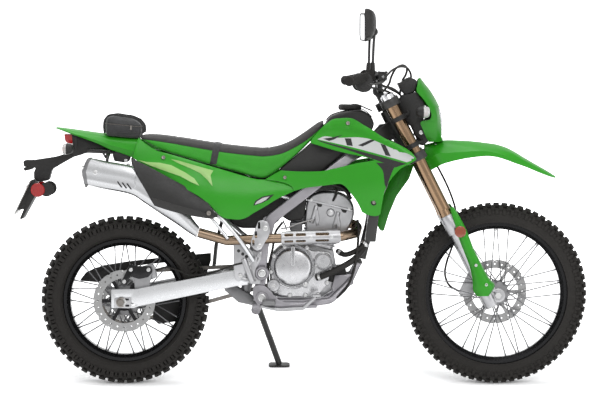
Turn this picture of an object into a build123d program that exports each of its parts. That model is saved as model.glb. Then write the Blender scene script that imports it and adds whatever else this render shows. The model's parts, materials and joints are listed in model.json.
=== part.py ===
from build123d import *
import os
from math import asin, atan2, cos, degrees, pi, radians, sin, tan

# Dual-sport motorcycle, built upright and then leaned onto its side stand.
# X runs forward from the chassis datum, Y to the rider's left, Z up from the floor. Millimetres, degrees.
# The datum lies front_reach behind the front axle; a longer wheelbase lengthens the swingarm and the chain.

# ---- wheels and stance ----
wheelbase = 1440
front_reach = 1440
rear_tyre_radius = 325
front_tyre_radius = 351
rear_tyre_width = 114
front_tyre_width = 86
crown_radius = 55
rear_bead_radius = 228.6
front_bead_radius = 266.7
rear_rim_width = 66
front_rim_width = 50
rim_depth = 17
rim_flange = 10
spoke_count = 36
spoke_radius = 1.8
nipple_radius = 3.2
nipple_length = 12
axle_radius = 8.5
park_lean = 9.0
running_gap = 0.4
seat_gap = 0.3

# ---- steering ----
rake = 26.7
bar_half_width = 400
fork_offset = 24
axle_lead = 38.8
fork_length = 812.7
fork_spread = 97
fork_cap_height = 9
fork_outer_radius = 25
fork_inner_radius = 21.5
stem_radius = 16
head_radius = 27
upper_clamp_base = 18
lower_clamp_base = -212
clamp_thickness = 32
bar_radius = 11.1

# ---- chassis ----
pivot_x = 533
pivot_z = 436
arm_width = 26
spar_centre_y = 93
spar_width = 24
spar_height = 40
cradle_radius = 13
cradle_y = 92
chain_pitch = 15.875
rear_teeth = 40
front_teeth = 13
counter_x = 612
counter_z = 425
crank_x = 715
crank_z = 430
case_half = 56
chain_clearance = 15
arm_clearance = 13
roller_radius = 5.08
plate_height = 14
plate_wall = 1.8
chain_line = case_half + chain_clearance
arm_inside = chain_line + arm_clearance
cylinder_tilt = 15.5
cylinder_foot = 112
pipe_radius = 19
panel_wall = 3.2

# ---- side stand ----
stand_pivot = (512, 128, 290)
stand_foot = (596, 232)
stand_radius = 12

rear_axle = Vector(front_reach - wheelbase, 0, rear_tyre_radius)
stand_axis = Vector(0.175, 0.883, 0.435).normalized()
front_axle = Vector(front_reach, 0, front_tyre_radius)
steer_up = Vector(-sin(radians(rake)), 0, cos(radians(rake)))
steer_fore = Vector(cos(radians(rake)), 0, sin(radians(rake)))
head_point = front_axle - steer_fore * (fork_offset + axle_lead) + steer_up * fork_length
rear_pitch_radius = chain_pitch / (2 * sin(pi / rear_teeth))
front_pitch_radius = chain_pitch / (2 * sin(pi / front_teeth))
park_lift = crown_radius * (1 - cos(radians(park_lean)))

pieces = {}


def keep(name, shape):
    # Every finished piece is labelled with its node's name and waits for the parked placing.
    shape.label = name
    pieces[name] = shape


def side(y):
    # Sketch plane seen from the right: local x forward, local y up, extruding towards the right.
    return Plane.XZ.offset(-y)


def across(x):
    # Sketch plane across the machine: local x to the left, local y up.
    return Plane(origin=(x, 0, 0), x_dir=(0, 1, 0), z_dir=(1, 0, 0))


def steering(s, fore=0.0, y=0.0):
    # Sketch plane square to the steering axis at height s: local x forward, local y to the left.
    return Plane(origin=head_point + steer_up * s + steer_fore * fore + Vector(0, y, 0),
                 x_dir=steer_fore, z_dir=steer_up)


def tube(points, radius, bend):
    # Round bar along straight runs joined by tangent arcs, added to the part being built.
    with BuildLine() as route:
        FilletPolyline(*points, radius=bend)
    with BuildSketch(Plane(origin=route.line @ 0, z_dir=route.line % 0)) as section:
        Circle(radius)
    sweep(section.sketch, path=route.line)


def rod(start, end, radius):
    # Straight round bar between two points, added to the part being built.
    span = Vector(*end) - Vector(*start)
    with BuildSketch(Plane(origin=start, z_dir=span)) as section:
        Circle(radius)
    extrude(section.sketch, amount=span.length)


def hose(name, points, radius):
    # Hose along straight runs joined by tangent arcs, each as large as its two runs allow.
    spots = [Vector(*point) for point in points]
    radii = []
    for before, corner, after in zip(spots, spots[1:], spots[2:]):
        turn = radians((corner - before).get_angle(after - corner))
        shorter = min((corner - before).length, (after - corner).length)
        radii.append(0.45 * shorter / tan(turn / 2))
    with BuildLine() as route:
        FilletPolyline(*spots, radius=radii)
    with BuildSketch(Plane(origin=route.line @ 0, z_dir=route.line % 0)) as section:
        Circle(radius)
    sweep(section.sketch, path=route.line)
    print(name, "length", round(route.wire().length), "radii", [round(value) for value in radii])


def outline(points):
    with BuildLine() as edge:
        Polyline(*points, close=True)
    make_face(edge.edges())


def mirrored_points(points):
    # Closes a half outline, given from the bottom edge to the centre line, to a whole one.
    return points + [(-y, z) for y, z in reversed(points) if y > 0]


# ================================ wheels ================================


def tyre_profile(radius, width, bead, rim_width):
    # Round crown that both tyres share, so both meet the floor at any lean.
    centre = radius - crown_radius
    shoulder = min(62.0, degrees(asin((width / 2 - 3) / crown_radius)))
    shoulder_y = crown_radius * sin(radians(shoulder))
    shoulder_z = centre + crown_radius * cos(radians(shoulder))
    seat_y = rim_width / 2 - 6 - seat_gap
    flange_z = bead + rim_flange + 1
    wall = shoulder_z - flange_z
    side_wall = [(width / 2, shoulder_z - wall * 0.34), (width / 2 - 2, shoulder_z - wall * 0.62),
                 (seat_y, flange_z), (seat_y, bead + seat_gap)]
    with BuildLine() as edge:
        ThreePointArc((-shoulder_y, shoulder_z), (0, radius), (shoulder_y, shoulder_z))
        Polyline((shoulder_y, shoulder_z), *side_wall, *[(-y, z) for y, z in reversed(side_wall)],
                 (-shoulder_y, shoulder_z))
    make_face(edge.edges())


def rim_profile(bead, rim_width):
    half = rim_width / 2
    inner = bead - rim_depth
    with BuildLine() as edge:
        Polyline((-half, bead + rim_flange - 2), (-half + 1.5, bead + rim_flange),
                 (-half + 4.5, bead + rim_flange), (-half + 6, bead + rim_flange - 2),
                 (-half + 6, bead), (-half + 15, bead - 1), (-half + 19, bead - 8),
                 (half - 19, bead - 8), (half - 15, bead - 1), (half - 6, bead),
                 (half - 6, bead + rim_flange - 2), (half - 4.5, bead + rim_flange),
                 (half - 1.5, bead + rim_flange), (half, bead + rim_flange - 2),
                 (half, bead - 4), (half - 14, inner), (-half + 14, inner), (-half, bead - 4),
                 close=True)
    make_face(edge.edges())


def spoke_ends(axle, hole_radius, flange_y, rim_inner, reach):
    # Crossed lacing: on each flange every second spoke leans forward and the next one back.
    ends = []
    per_side = spoke_count // 2
    for flange in (1, -1):
        for index in range(per_side):
            lean = 1 if index % 2 else -1
            pair = 2 * (index // 2)
            hub_angle = radians(360 * (pair + 0.5 + 0.25 * flange) / per_side)
            rim_angle = hub_angle + lean * radians(reach)
            hub_y = flange * (flange_y + 5 * lean)
            hub_point = Vector(hole_radius * cos(hub_angle + lean * 0.09), hub_y,
                               hole_radius * sin(hub_angle + lean * 0.09))
            rim_point = Vector((rim_inner - 1) * cos(rim_angle), flange * 7,
                               (rim_inner - 1) * sin(rim_angle))
            ends.append((axle + hub_point, axle + rim_point))
    return ends


def spoke_set(axle, hole_radius, flange_y, rim_inner, reach):
    for start, end in spoke_ends(axle, hole_radius, flange_y, rim_inner, reach):
        run = end - start
        with BuildSketch(Plane(origin=start, z_dir=run)) as section:
            Circle(spoke_radius)
        extrude(section.sketch, amount=run.length)
        with BuildSketch(Plane(origin=end - run.normalized() * nipple_length, z_dir=run)) as nipple:
            RegularPolygon(nipple_radius, 4)
        extrude(nipple.sketch, amount=nipple_length)


def spin_axis(axle):
    return Axis(tuple(axle), (0, 1, 0))


def wheel_plane(axle):
    # Section plane through the axle: local x to the left, local y outwards along the radius.
    return Plane(origin=axle, x_dir=(0, 1, 0), z_dir=(1, 0, 0))


with BuildPart() as rear_tyre:
    with BuildSketch(wheel_plane(rear_axle)):
        tyre_profile(rear_tyre_radius, rear_tyre_width, rear_bead_radius, rear_rim_width)
    revolve(axis=spin_axis(rear_axle))
keep("rear_tyre", rear_tyre.part)

with BuildPart() as front_tyre:
    with BuildSketch(wheel_plane(front_axle)):
        tyre_profile(front_tyre_radius, front_tyre_width, front_bead_radius, front_rim_width)
    revolve(axis=spin_axis(front_axle))
keep("front_tyre", front_tyre.part)

with BuildPart() as rear_rim:
    with BuildSketch(wheel_plane(rear_axle)):
        rim_profile(rear_bead_radius, rear_rim_width)
    revolve(axis=spin_axis(rear_axle))
keep("rear_rim", rear_rim.part)

with BuildPart() as front_rim:
    with BuildSketch(wheel_plane(front_axle)):
        rim_profile(front_bead_radius, front_rim_width)
    revolve(axis=spin_axis(front_axle))
keep("front_rim", front_rim.part)

# Hubs: a barrel between two spoke flanges, bored for the axle.
rear_hub_flange = 52
rear_hub_half = 30
front_hub_flange = 40
front_hub_half = 29
flange_wall = 5


def hub_profile(half, flange_radius, barrel):
    bore = axle_radius + running_gap
    low = half + 11
    with BuildLine() as edge:
        Polyline((-low, bore), (-low, barrel - 4), (-half - flange_wall, barrel - 4),
                 (-half - flange_wall, flange_radius + 7), (-half, flange_radius + 7),
                 (-half, barrel + 4), (-half + 9, barrel), (half - 9, barrel), (half, barrel + 4),
                 (half, flange_radius + 7), (half + flange_wall, flange_radius + 7),
                 (half + flange_wall, barrel - 4), (low, barrel - 4), (low, bore), close=True)
    make_face(edge.edges())


with BuildPart() as rear_hub:
    with BuildSketch(wheel_plane(rear_axle)):
        hub_profile(rear_hub_half, rear_hub_flange, 32)
    revolve(axis=spin_axis(rear_axle))
keep("rear_hub", rear_hub.part)

with BuildPart() as front_hub:
    with BuildSketch(wheel_plane(front_axle)):
        hub_profile(front_hub_half, front_hub_flange, 25)
    revolve(axis=spin_axis(front_axle))
keep("front_hub", front_hub.part)

with BuildPart() as rear_spokes:
    spoke_set(rear_axle, rear_hub_flange + 7.9, rear_hub_half + flange_wall / 2,
              rear_bead_radius - rim_depth, 34)
keep("rear_spokes", rear_spokes.part)

with BuildPart() as front_spokes:
    spoke_set(front_axle, front_hub_flange + 7.9, front_hub_half + flange_wall / 2,
              front_bead_radius - rim_depth, 34)
keep("front_spokes", front_spokes.part)


def brake_disc(plane, outer, band, carrier_bore, arms, wave):
    # Petal rotor: a scalloped ring with drilled rows on a spidered carrier.
    with BuildSketch(plane) as rotor:
        Circle(outer)
        with PolarLocations(outer + wave * 1.1, arms * 2):
            Circle(wave * 2, mode=Mode.SUBTRACT)
        Circle(outer - band, mode=Mode.SUBTRACT)
        with PolarLocations(outer - band * 0.52, arms * 4):
            Circle(3.2, mode=Mode.SUBTRACT)
        with PolarLocations((outer - band + carrier_bore) / 2, arms):
            Rectangle(outer - band - carrier_bore + 10, 13)
        Circle(carrier_bore + 9)
        Circle(carrier_bore, mode=Mode.SUBTRACT)
    extrude(rotor.sketch, amount=disc_wall)


rear_disc_y = -53
front_disc_y = 52
disc_wall = 4.5
with BuildPart() as rear_disc:
    brake_disc(Plane(origin=rear_axle + Vector(0, rear_disc_y, 0), x_dir=(1, 0, 0), z_dir=(0, -1, 0)),
               120, 33, 30, 6, 4)
    with BuildSketch(Plane(origin=rear_axle + Vector(0, rear_disc_y, 0), x_dir=(1, 0, 0),
                           z_dir=(0, 1, 0))):
        Circle(39)
        Circle(axle_radius + 8, mode=Mode.SUBTRACT)
    extrude(amount=-rear_disc_y - rear_hub_half - 11 - seat_gap)
keep("rear_disc", rear_disc.part)

with BuildPart() as front_disc:
    brake_disc(Plane(origin=front_axle + Vector(0, front_disc_y, 0), x_dir=(1, 0, 0), z_dir=(0, 1, 0)),
               125, 33, 30, 6, 4)
    with BuildSketch(Plane(origin=front_axle + Vector(0, front_disc_y, 0), x_dir=(1, 0, 0),
                           z_dir=(0, -1, 0))):
        Circle(39)
        Circle(axle_radius + 8, mode=Mode.SUBTRACT)
    extrude(amount=front_disc_y - front_hub_half - 11 - seat_gap)
keep("front_disc", front_disc.part)

# Rear sprocket on the left flange of the hub. Its teeth end just under the rollers.
sprocket_wall = 6
with BuildPart() as rear_sprocket:
    with BuildSketch(Plane(origin=rear_axle + Vector(0, chain_line - sprocket_wall / 2, 0),
                           x_dir=(1, 0, 0), z_dir=(0, 1, 0))):
        Circle(rear_pitch_radius - roller_radius - running_gap)
        with PolarLocations(rear_pitch_radius - 2, rear_teeth):
            Circle(roller_radius + 2, mode=Mode.SUBTRACT)
        Circle(46, mode=Mode.SUBTRACT)
        with PolarLocations(72, 8):
            Circle(9, mode=Mode.SUBTRACT)
        Circle(52)
        Circle(axle_radius + 8, mode=Mode.SUBTRACT)
    extrude(amount=sprocket_wall)
    with BuildSketch(Plane(origin=rear_axle + Vector(0, chain_line - sprocket_wall / 2, 0),
                           x_dir=(1, 0, 0), z_dir=(0, -1, 0))):
        Circle(50)
        Circle(axle_radius + 8, mode=Mode.SUBTRACT)
    extrude(amount=chain_line - sprocket_wall / 2 - rear_hub_half - 11 - seat_gap)
keep("rear_sprocket", rear_sprocket.part)


def axle_bar(axle, left, right, head):
    # Spindle with a hexagonal head on each end.
    rod(axle + Vector(0, left, 0), axle + Vector(0, right, 0), axle_radius)
    for y, way in ((left, 1), (right, -1)):
        with BuildSketch(Plane(origin=axle + Vector(0, y, 0), x_dir=(1, 0, 0), z_dir=(0, way, 0))) as nut:
            RegularPolygon(head, 6)
        extrude(nut.sketch, amount=head * 0.6)


# ================================ steering ================================

fork_top = 55
outer_tube_end = -448
collar_end = -526
lug_top = -735
axle_s = -fork_length
leg_ys = (fork_spread, -fork_spread)

with BuildPart() as fork_tubes:
    for y in leg_ys:
        with BuildSketch(steering(outer_tube_end, fork_offset, y)):
            Circle(fork_outer_radius)
        extrude(amount=fork_top - outer_tube_end)
        with BuildSketch(steering(fork_top, fork_offset, y)):
            RegularPolygon(fork_outer_radius - 4, 6)
        extrude(amount=fork_cap_height, taper=4)
        with BuildSketch(steering(outer_tube_end, fork_offset, y)):
            Circle(fork_outer_radius + 3)
        extrude(amount=26, taper=6)
keep("fork_tubes", fork_tubes.part)

with BuildPart() as fork_sliders:
    for y in leg_ys:
        with BuildSketch(steering(collar_end, fork_offset, y)):
            Circle(fork_outer_radius + 4)
        extrude(amount=outer_tube_end - collar_end - seat_gap)
        with BuildSketch(steering(lug_top, fork_offset, y)):
            Circle(fork_inner_radius)
        extrude(amount=collar_end - lug_top)
        with BuildSketch(steering(axle_s - 30, fork_offset, y)):
            Circle(fork_inner_radius + 5)
        extrude(amount=lug_top - axle_s + 30)
        inner = y - 17 if y > 0 else y + 17
        with BuildSketch(side(inner)):
            with Locations((front_axle.X, front_axle.Z)):
                Circle(27)
            with Locations((front_axle.X - 24, front_axle.Z + 4)):
                Rectangle(44, 50, rotation=rake)
        extrude(amount=34 if y < 0 else -34)
        with BuildSketch(side(inner)):
            with Locations((front_axle.X, front_axle.Z)):
                Circle(axle_radius + seat_gap)
        extrude(amount=34 if y < 0 else -34, mode=Mode.SUBTRACT)
keep("fork_sliders", fork_sliders.part)

with BuildPart() as front_axle_bar:
    axle_bar(front_axle, fork_spread + 17 + seat_gap, -fork_spread - 17 - seat_gap, 13)
keep("front_axle", front_axle_bar.part)


def clamp_sketch():
    for y in leg_ys:
        with Locations((fork_offset, y)):
            Circle(fork_outer_radius + 12)
    Circle(head_radius + 4)
    outline([(-14, -30), (-14, 30), (2, fork_spread), (44, fork_spread), (30, 30), (30, -30),
             (44, -fork_spread), (2, -fork_spread)])
    for y in leg_ys:
        with Locations((fork_offset, y)):
            Circle(fork_outer_radius + seat_gap, mode=Mode.SUBTRACT)


with BuildPart() as triple_clamps:
    for base in (upper_clamp_base, lower_clamp_base):
        with BuildSketch(steering(base)):
            clamp_sketch()
        extrude(amount=clamp_thickness)
    with BuildSketch(steering(lower_clamp_base)):
        Circle(stem_radius)
    extrude(amount=upper_clamp_base - lower_clamp_base)
keep("triple_clamps", triple_clamps.part)

bar_clamp_y = 45
bar_centre = head_point + steer_up * 92 + steer_fore * 4
grip_end = Vector(head_point.X - 157.6, bar_half_width, head_point.Z + 124.8)
bar_bend = Vector(head_point.X - 40, 190, head_point.Z + 148)
grip_length = 125
grip_start = grip_end + (bar_bend - grip_end).normalized() * grip_length
bar_foot = bar_centre + Vector(4, 82, 4)


def across_bar(point):
    return Vector(point.X, -point.Y, point.Z)


with BuildPart() as handlebar:
    tube([grip_end, bar_bend, bar_foot, across_bar(bar_foot), across_bar(bar_bend), across_bar(grip_end)],
         bar_radius, 32)
    for y in (bar_clamp_y, -bar_clamp_y):
        with BuildSketch(side(y - 12)):
            with Locations((bar_centre.X, bar_centre.Z)):
                Circle(bar_radius + 9)
        extrude(amount=-24)
        with BuildSketch(steering(upper_clamp_base + clamp_thickness + seat_gap, 4, y)):
            RectangleRounded(30, 24, 6)
        extrude(amount=92 - upper_clamp_base - clamp_thickness)
keep("handlebar", handlebar.part)

grip_radius = 17
with BuildPart() as grips:
    for hand in (1, -1):
        end = Vector(grip_end.X, grip_end.Y * hand, grip_end.Z)
        start = Vector(grip_start.X, grip_start.Y * hand, grip_start.Z)
        along = (end - start).normalized()
        with BuildSketch(Plane(origin=start, z_dir=along)):
            Circle(grip_radius)
            Circle(bar_radius + seat_gap, mode=Mode.SUBTRACT)
        extrude(amount=(end - start).length - 1)
        with BuildSketch(Plane(origin=end + along, z_dir=along)):
            Circle(grip_radius + 1)
        extrude(amount=6)
        with BuildSketch(Plane(origin=start, z_dir=along)):
            Circle(grip_radius + 8)
            Circle(bar_radius + seat_gap, mode=Mode.SUBTRACT)
        extrude(amount=5)
keep("grips", grips.part)

with BuildPart() as hand_controls:
    for hand in (1, -1):
        start = Vector(grip_start.X, grip_start.Y * hand, grip_start.Z)
        bend = Vector(bar_bend.X, bar_bend.Y * hand, bar_bend.Z)
        along = (bend - start).normalized()
        housing = start + along * 2
        with BuildSketch(Plane(origin=housing, x_dir=(1, 0, 0), z_dir=along)):
            with Locations((2, 4)):
                RectangleRounded(46, 52, 12)
            Circle(bar_radius + seat_gap, mode=Mode.SUBTRACT)
        extrude(amount=38)
        perch = housing + along * 40
        with BuildSketch(Plane(origin=perch, x_dir=(1, 0, 0), z_dir=along)):
            Circle(bar_radius + 7)
            with Locations((20, -4)):
                RectangleRounded(40, 22, 6)
            Circle(bar_radius + seat_gap, mode=Mode.SUBTRACT)
        extrude(amount=22)
        end = Vector(grip_end.X, grip_end.Y * hand, grip_end.Z)
        lever_start = perch + along * 10 + Vector(36, 0, -6)
        tube([lever_start, lever_start + Vector(6, 40 * hand, -4),
              end + Vector(62, (abs(grip_end.Y) - 20) * hand - end.Y, -8)], 6, 30)
    reservoir = Vector(head_point.X - 20, 36 - grip_start.Y, head_point.Z + 144)
    with BuildSketch(Plane.XY.offset(reservoir.Z - 20)):
        with Locations((reservoir.X, reservoir.Y)):
            RectangleRounded(30, 40, 6)
    extrude(amount=34)
keep("hand_controls", hand_controls.part)

mirror_y = 300
with BuildPart() as mirrors:
    for hand in (1, -1):
        foot = grip_start + (bar_bend - grip_start).normalized() * 52 + Vector(2, 0, bar_radius + 8)
        foot = Vector(foot.X, foot.Y * hand, foot.Z)
        tube([foot, foot + Vector(2, 8 * hand, 60), Vector(head_point.X - 62, mirror_y * hand - 30 * hand,
             head_point.Z + 300), Vector(head_point.X - 62, mirror_y * hand, head_point.Z + 330)], 5, 18)
        with BuildSketch(Plane(origin=foot + Vector(0, 0, 1), z_dir=(0, 0, 1))):
            Circle(10)
        extrude(amount=30, taper=8)
        with BuildSketch(across(head_point.X - 98)):
            with Locations((mirror_y * hand, head_point.Z + 346)):
                RectangleRounded(140, 102, 34)
        extrude(amount=26)
        with BuildSketch(across(head_point.X - 72)):
            with Locations((mirror_y * hand, head_point.Z + 346)):
                RectangleRounded(140, 102, 34)
        with BuildSketch(across(head_point.X - 52)):
            with Locations((mirror_y * hand, head_point.Z + 344)):
                RectangleRounded(80, 56, 20)
        loft()
keep("mirrors", mirrors.part)

with BuildPart() as meter:
    with BuildSketch(steering(upper_clamp_base + clamp_thickness + 24, 74)):
        RectangleRounded(52, 120, 12)
    extrude(amount=60)
    with BuildSketch(steering(upper_clamp_base + 8, 70)):
        Rectangle(14, 50)
    extrude(amount=clamp_thickness + 17)
    with BuildSketch(steering(upper_clamp_base + 8, 51.8)):
        Rectangle(40.8, 50)
    extrude(amount=6)
keep("meter", meter.part)


def shell_sections(stations, inset):
    # Inverted channel across the machine at each station: half width, edge, crease and top heights.
    for x, half, edge, crease, top in stations:
        drop = 40 if inset else 0
        with BuildSketch(across(x)) as section:
            outline(mirrored_points([(half - inset, edge - drop), (half * 0.98 - inset, crease),
                                     (half * 0.6, top - 5 - inset), (0, top - inset)]))
        yield section.sketch


front_fender_stations = [
    (1186, 62, 830, 890, 930), (1240, 68, 860, 894, 944), (1340, 74, 877, 898, 942),
    (1440, 71, 878, 897, 930), (1540, 60, 845, 872, 884), (1668, 34, 797, 800, 803)]
fender_shift = front_axle.X - 1440
fender_lift = front_axle.Z - 351
with BuildPart() as front_fender:
    stations = [(x + fender_shift, half, edge + fender_lift, crease + fender_lift, top + fender_lift)
                for x, half, edge, crease, top in front_fender_stations]
    loft(list(shell_sections(stations, 0)))
    loft(list(shell_sections(stations, panel_wall)), mode=Mode.SUBTRACT)
    with BuildSketch(steering(lower_clamp_base + 12, head_radius + 4 + seat_gap)):
        with Locations((40, 0)):
            Rectangle(80, 50)
    extrude(amount=14)
keep("front_fender", front_fender.part)

# Fork guards: curved shells ahead of and outside each lower leg, wider over the axle lug.
guard_radius = 38
guard_stations = [(-440, 30, 59, -14), (-534, 18, 59, -14), (-617, 5, 52, -14), (-700, 0, 55, -14),
                  (-752, -12, 60, -12), (-768, -12, 66, 20), (-788, 2, 44, 24)]
reflector_radius = 22


def guard_sections(hand):
    # Each station gives the height on the steering axis, the rear and front edges ahead of it, and how far
    # outside the leg's centre the front edge turns in.
    for s, rear, front, wrap in guard_stations:
        arcs = []
        for inset in (0, panel_wall):
            arcs.append([(front - inset, (fork_spread + wrap) * hand),
                         (front - 8 - inset * 0.8, (fork_spread + max(24, wrap + 7) - inset * 0.6) * hand),
                         (rear, (fork_spread + guard_radius - inset) * hand)])
        with BuildSketch(steering(s)) as section:
            with BuildLine() as edge:
                ThreePointArc(*arcs[0])
                Line(arcs[0][2], arcs[1][2])
                ThreePointArc(*arcs[1])
                Line(arcs[1][0], arcs[0][0])
            make_face(edge.edges())
        yield section.sketch


with BuildPart() as fork_guards:
    for hand in (1, -1):
        loft(list(guard_sections(hand)), ruled=True)
        boss = steering(-778, fork_offset).origin
        rod((boss.X, (fork_spread + fork_inner_radius + 5 + seat_gap) * hand, boss.Z),
            (boss.X, (fork_spread + guard_radius - 5) * hand, boss.Z), 6)
        reflector = steering(-525.5, 41.7).origin
        rod((reflector.X, (fork_spread + guard_radius - 8) * hand, reflector.Z),
            (reflector.X, (fork_spread + guard_radius + 4) * hand, reflector.Z), reflector_radius)
keep("fork_guards", fork_guards.part)

mask_stations = [(1187, 1143, 46, 34), (1140, 1180, 78, 52), (1095, 1208, 98, 62),
                 (1045, 1226, 108, 66), (995, 1232, 100, 64), (944, 1226, 62, 50)]
with BuildPart() as headlight_mask:
    for inset in (0, panel_wall):
        for z, nose, half, depth in mask_stations:
            with BuildSketch(Plane.XY.offset(z + fender_lift)):
                with BuildLine():
                    Polyline((nose - depth + fender_shift - inset * 4, -half + inset),
                             (nose - depth * 0.42 + fender_shift - inset, -half * 0.82 + inset),
                             (nose + fender_shift - inset, -half * 0.42 + inset * 0.5),
                             (nose + fender_shift - inset, half * 0.42 - inset * 0.5),
                             (nose - depth * 0.42 + fender_shift - inset, half * 0.82 - inset),
                             (nose - depth + fender_shift - inset * 4, half - inset), close=True)
                make_face()
        loft(mode=Mode.ADD if inset == 0 else Mode.SUBTRACT)
    with BuildSketch(across(1100)):
        with BuildLine():
            Polyline((-62, 1058), (62, 1058), (72, 1020), (44, 958), (-44, 958), (-72, 1020), close=True)
        make_face()
    extrude(amount=200, mode=Mode.SUBTRACT)
keep("headlight_mask", headlight_mask.part)

with BuildPart() as headlight:
    with BuildSketch(across(1166.9)):
        with BuildLine():
            Polyline((-61, 1057), (61, 1057), (71, 1020), (43, 959), (-43, 959), (-71, 1020), close=True)
        make_face()
    with BuildSketch(across(1222)):
        with BuildLine():
            Polyline((-61, 1057), (61, 1057), (71, 1020), (43, 959), (-43, 959), (-71, 1020), close=True)
        make_face()
    loft()
keep("headlight", headlight.part)

with BuildPart() as headlight_bracket:
    for hand in (1, -1):
        with BuildSketch(side(40 * hand)):
            outline([(1072, 1086), (1092, 1040), (1112, 990), (1137, 940), (1150, 932), (1172, 946),
                     (1160, 975), (1166, 1020), (1160, 1060), (1130, 1120)])
        extrude(amount=6 * hand)
    with BuildSketch(across(1134)):
        with Locations((0, 1010)):
            Rectangle(80, 60)
    extrude(amount=20)
    for hand in (1, -1):
        with BuildSketch(steering(-10, fork_offset, fork_spread * hand)):
            Circle(fork_outer_radius + 6)
            Circle(fork_outer_radius + seat_gap, mode=Mode.SUBTRACT)
        extrude(amount=16)
        band = head_point + steer_fore * fork_offset + Vector(0, fork_spread * hand, 0)
        reach = (Vector(1088, 37 * hand, 1067) - band).normalized() * (fork_outer_radius + 5)
        rod((1088, 37 * hand, 1067), band + reach, 5)
keep("headlight_bracket", headlight_bracket.part)

with BuildPart() as front_turn_signals:
    for hand in (1, -1):
        centre = Vector(1150, 150 * hand, 1056)
        rod((1144, 40.8 * hand, 1056), (1150, 128 * hand, 1056), 7)
        with BuildSketch(across(1130)):
            with Locations((centre.Y, centre.Z)):
                Ellipse(32, 23)
        with BuildSketch(across(1172)):
            with Locations((centre.Y, centre.Z)):
                Ellipse(30, 21)
        loft()
keep("front_turn_signals", front_turn_signals.part)

with BuildPart() as front_caliper:
    with BuildSketch(side(front_disc_y - 16)):
        with Locations((1341, 372)):
            RectangleRounded(54, 96, 16, rotation=-26)
    extrude(amount=-34)
    with BuildSketch(side(front_disc_y - 3)):
        with Locations(Location((front_axle.X, front_axle.Z))):
            Circle(127)
    extrude(amount=-11, mode=Mode.SUBTRACT)
keep("front_caliper", front_caliper.part)

# Front brake hose: from the reservoir over the meter, down the left leg to the caliper.
hose_radius = 4
with BuildPart() as front_brake_hose:
    hose("front_brake_hose", [
        (1004, -235.1, 1190), (1004, -195, 1190), (1026, -152, 1214), (1060, -104, 1230), (1092, -52, 1226),
        (1110, -4, 1198), (1107, 36, 1152), (1107, 58, 1098), (1116, 65, 1040), (1136, 67, 985),
        (1162, 72, 930), (1192, 81, 880), (1222, 84, 830), (1249, 80, 778), (1271, 72, 726), (1287, 66, 676),
        (1294, 63, 624), (1289, 62, 572), (1273, 62, 522), (1253, 62, 470), (1243, 59, 418),
        (1260.4, 53, 371.9), (1300.9, 53, 352.2)], hose_radius)
keep("front_brake_hose", front_brake_hose.part)

# ================================ chassis ================================

with BuildPart() as frame_spars:
    for hand in (1, -1):
        with BuildLine() as route:
            FilletPolyline((520, spar_centre_y * hand, 329.2), (536, spar_centre_y * hand, 530),
                           (566, spar_centre_y * hand, 642), (704, spar_centre_y * hand, 748),
                           (868, spar_centre_y * hand, 880), radius=40)
        with BuildSketch(Plane(origin=route.line @ 0, x_dir=(0, 1, 0), z_dir=route.line % 0)):
            RectangleRounded(spar_width, spar_height, 5)
        sweep(path=route.line)
        nose = head_point + steer_up * -70
        with BuildSketch(Plane(origin=route.line @ 1, x_dir=(0, 1, 0), z_dir=route.line % 1)):
            RectangleRounded(spar_width, spar_height, 5)
        with BuildSketch(Plane(origin=nose + Vector(-14, 14 * hand, 0), x_dir=(0, 1, 0),
                               z_dir=(cos(radians(20)), 0, sin(radians(20))))):
            RectangleRounded(spar_width, 70, 5)
        loft()
    with BuildSketch(steering(lower_clamp_base + clamp_thickness + 6)):
        Circle(head_radius)
    extrude(amount=upper_clamp_base - lower_clamp_base - clamp_thickness - 12)
    with BuildSketch(steering(lower_clamp_base + clamp_thickness)):
        Circle(stem_radius + running_gap)
    extrude(amount=upper_clamp_base - lower_clamp_base - clamp_thickness, mode=Mode.SUBTRACT)
    rod((548, -spar_centre_y, 640), (548, spar_centre_y, 640), 12)
    with BuildSketch(side(spar_centre_y + spar_width)):
        with Locations((pivot_x, pivot_z)):
            Circle(8 + seat_gap)
    extrude(amount=2 * (spar_centre_y + spar_width), mode=Mode.SUBTRACT)
keep("frame_spars", frame_spars.part)

down_foot = (916, 0, 486)
with BuildPart() as down_tube:
    top = head_point + steer_up * -150 - steer_fore * 40
    tube([top, (970, 0, 700), down_foot], 19, 120)

with BuildPart() as cradle:
    for hand in (1, -1):
        tube([(906, 24 * hand, 472), (868, 70 * hand, 398), (796, cradle_y * hand, 330),
              (690, cradle_y * hand, 314), (528, cradle_y * hand, 314), (498, cradle_y * hand, 306)],
             cradle_radius, 30)
        with BuildSketch(side((case_half + seat_gap) * hand)):
            outline([(803, 380), (808, 352), (886, 392), (880, 430), (814, 424)])
        extrude(amount=-14 * hand)
    rod((528, -cradle_y, 314), (528, cradle_y, 314), 12)
    rod((908, -40, 472), (908, 40, 472), 12)
    stand_boss = Vector(*stand_pivot) - stand_axis * 14.4
    rod(stand_boss, stand_boss - stand_axis * 28, 18)
    add(down_tube.part)
keep("lower_frame", cradle.part)

with BuildPart() as subframe:
    for hand in (1, -1):
        tube([(652, 70.6 * hand, 712), (430, 70 * hand, 813.2), (150, 66 * hand, 894.2), (-140, 40.6 * hand, 906)],
             10, 60)
        tube([(528, 71.5 * hand, 520), (450, 71 * hand, 580), (300, 70 * hand, 720), (150, 68 * hand, 852)],
             9, 60)
    rod((40, -64, 898), (40, -106, 842.9), 7)
keep("subframe", subframe.part)

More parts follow.
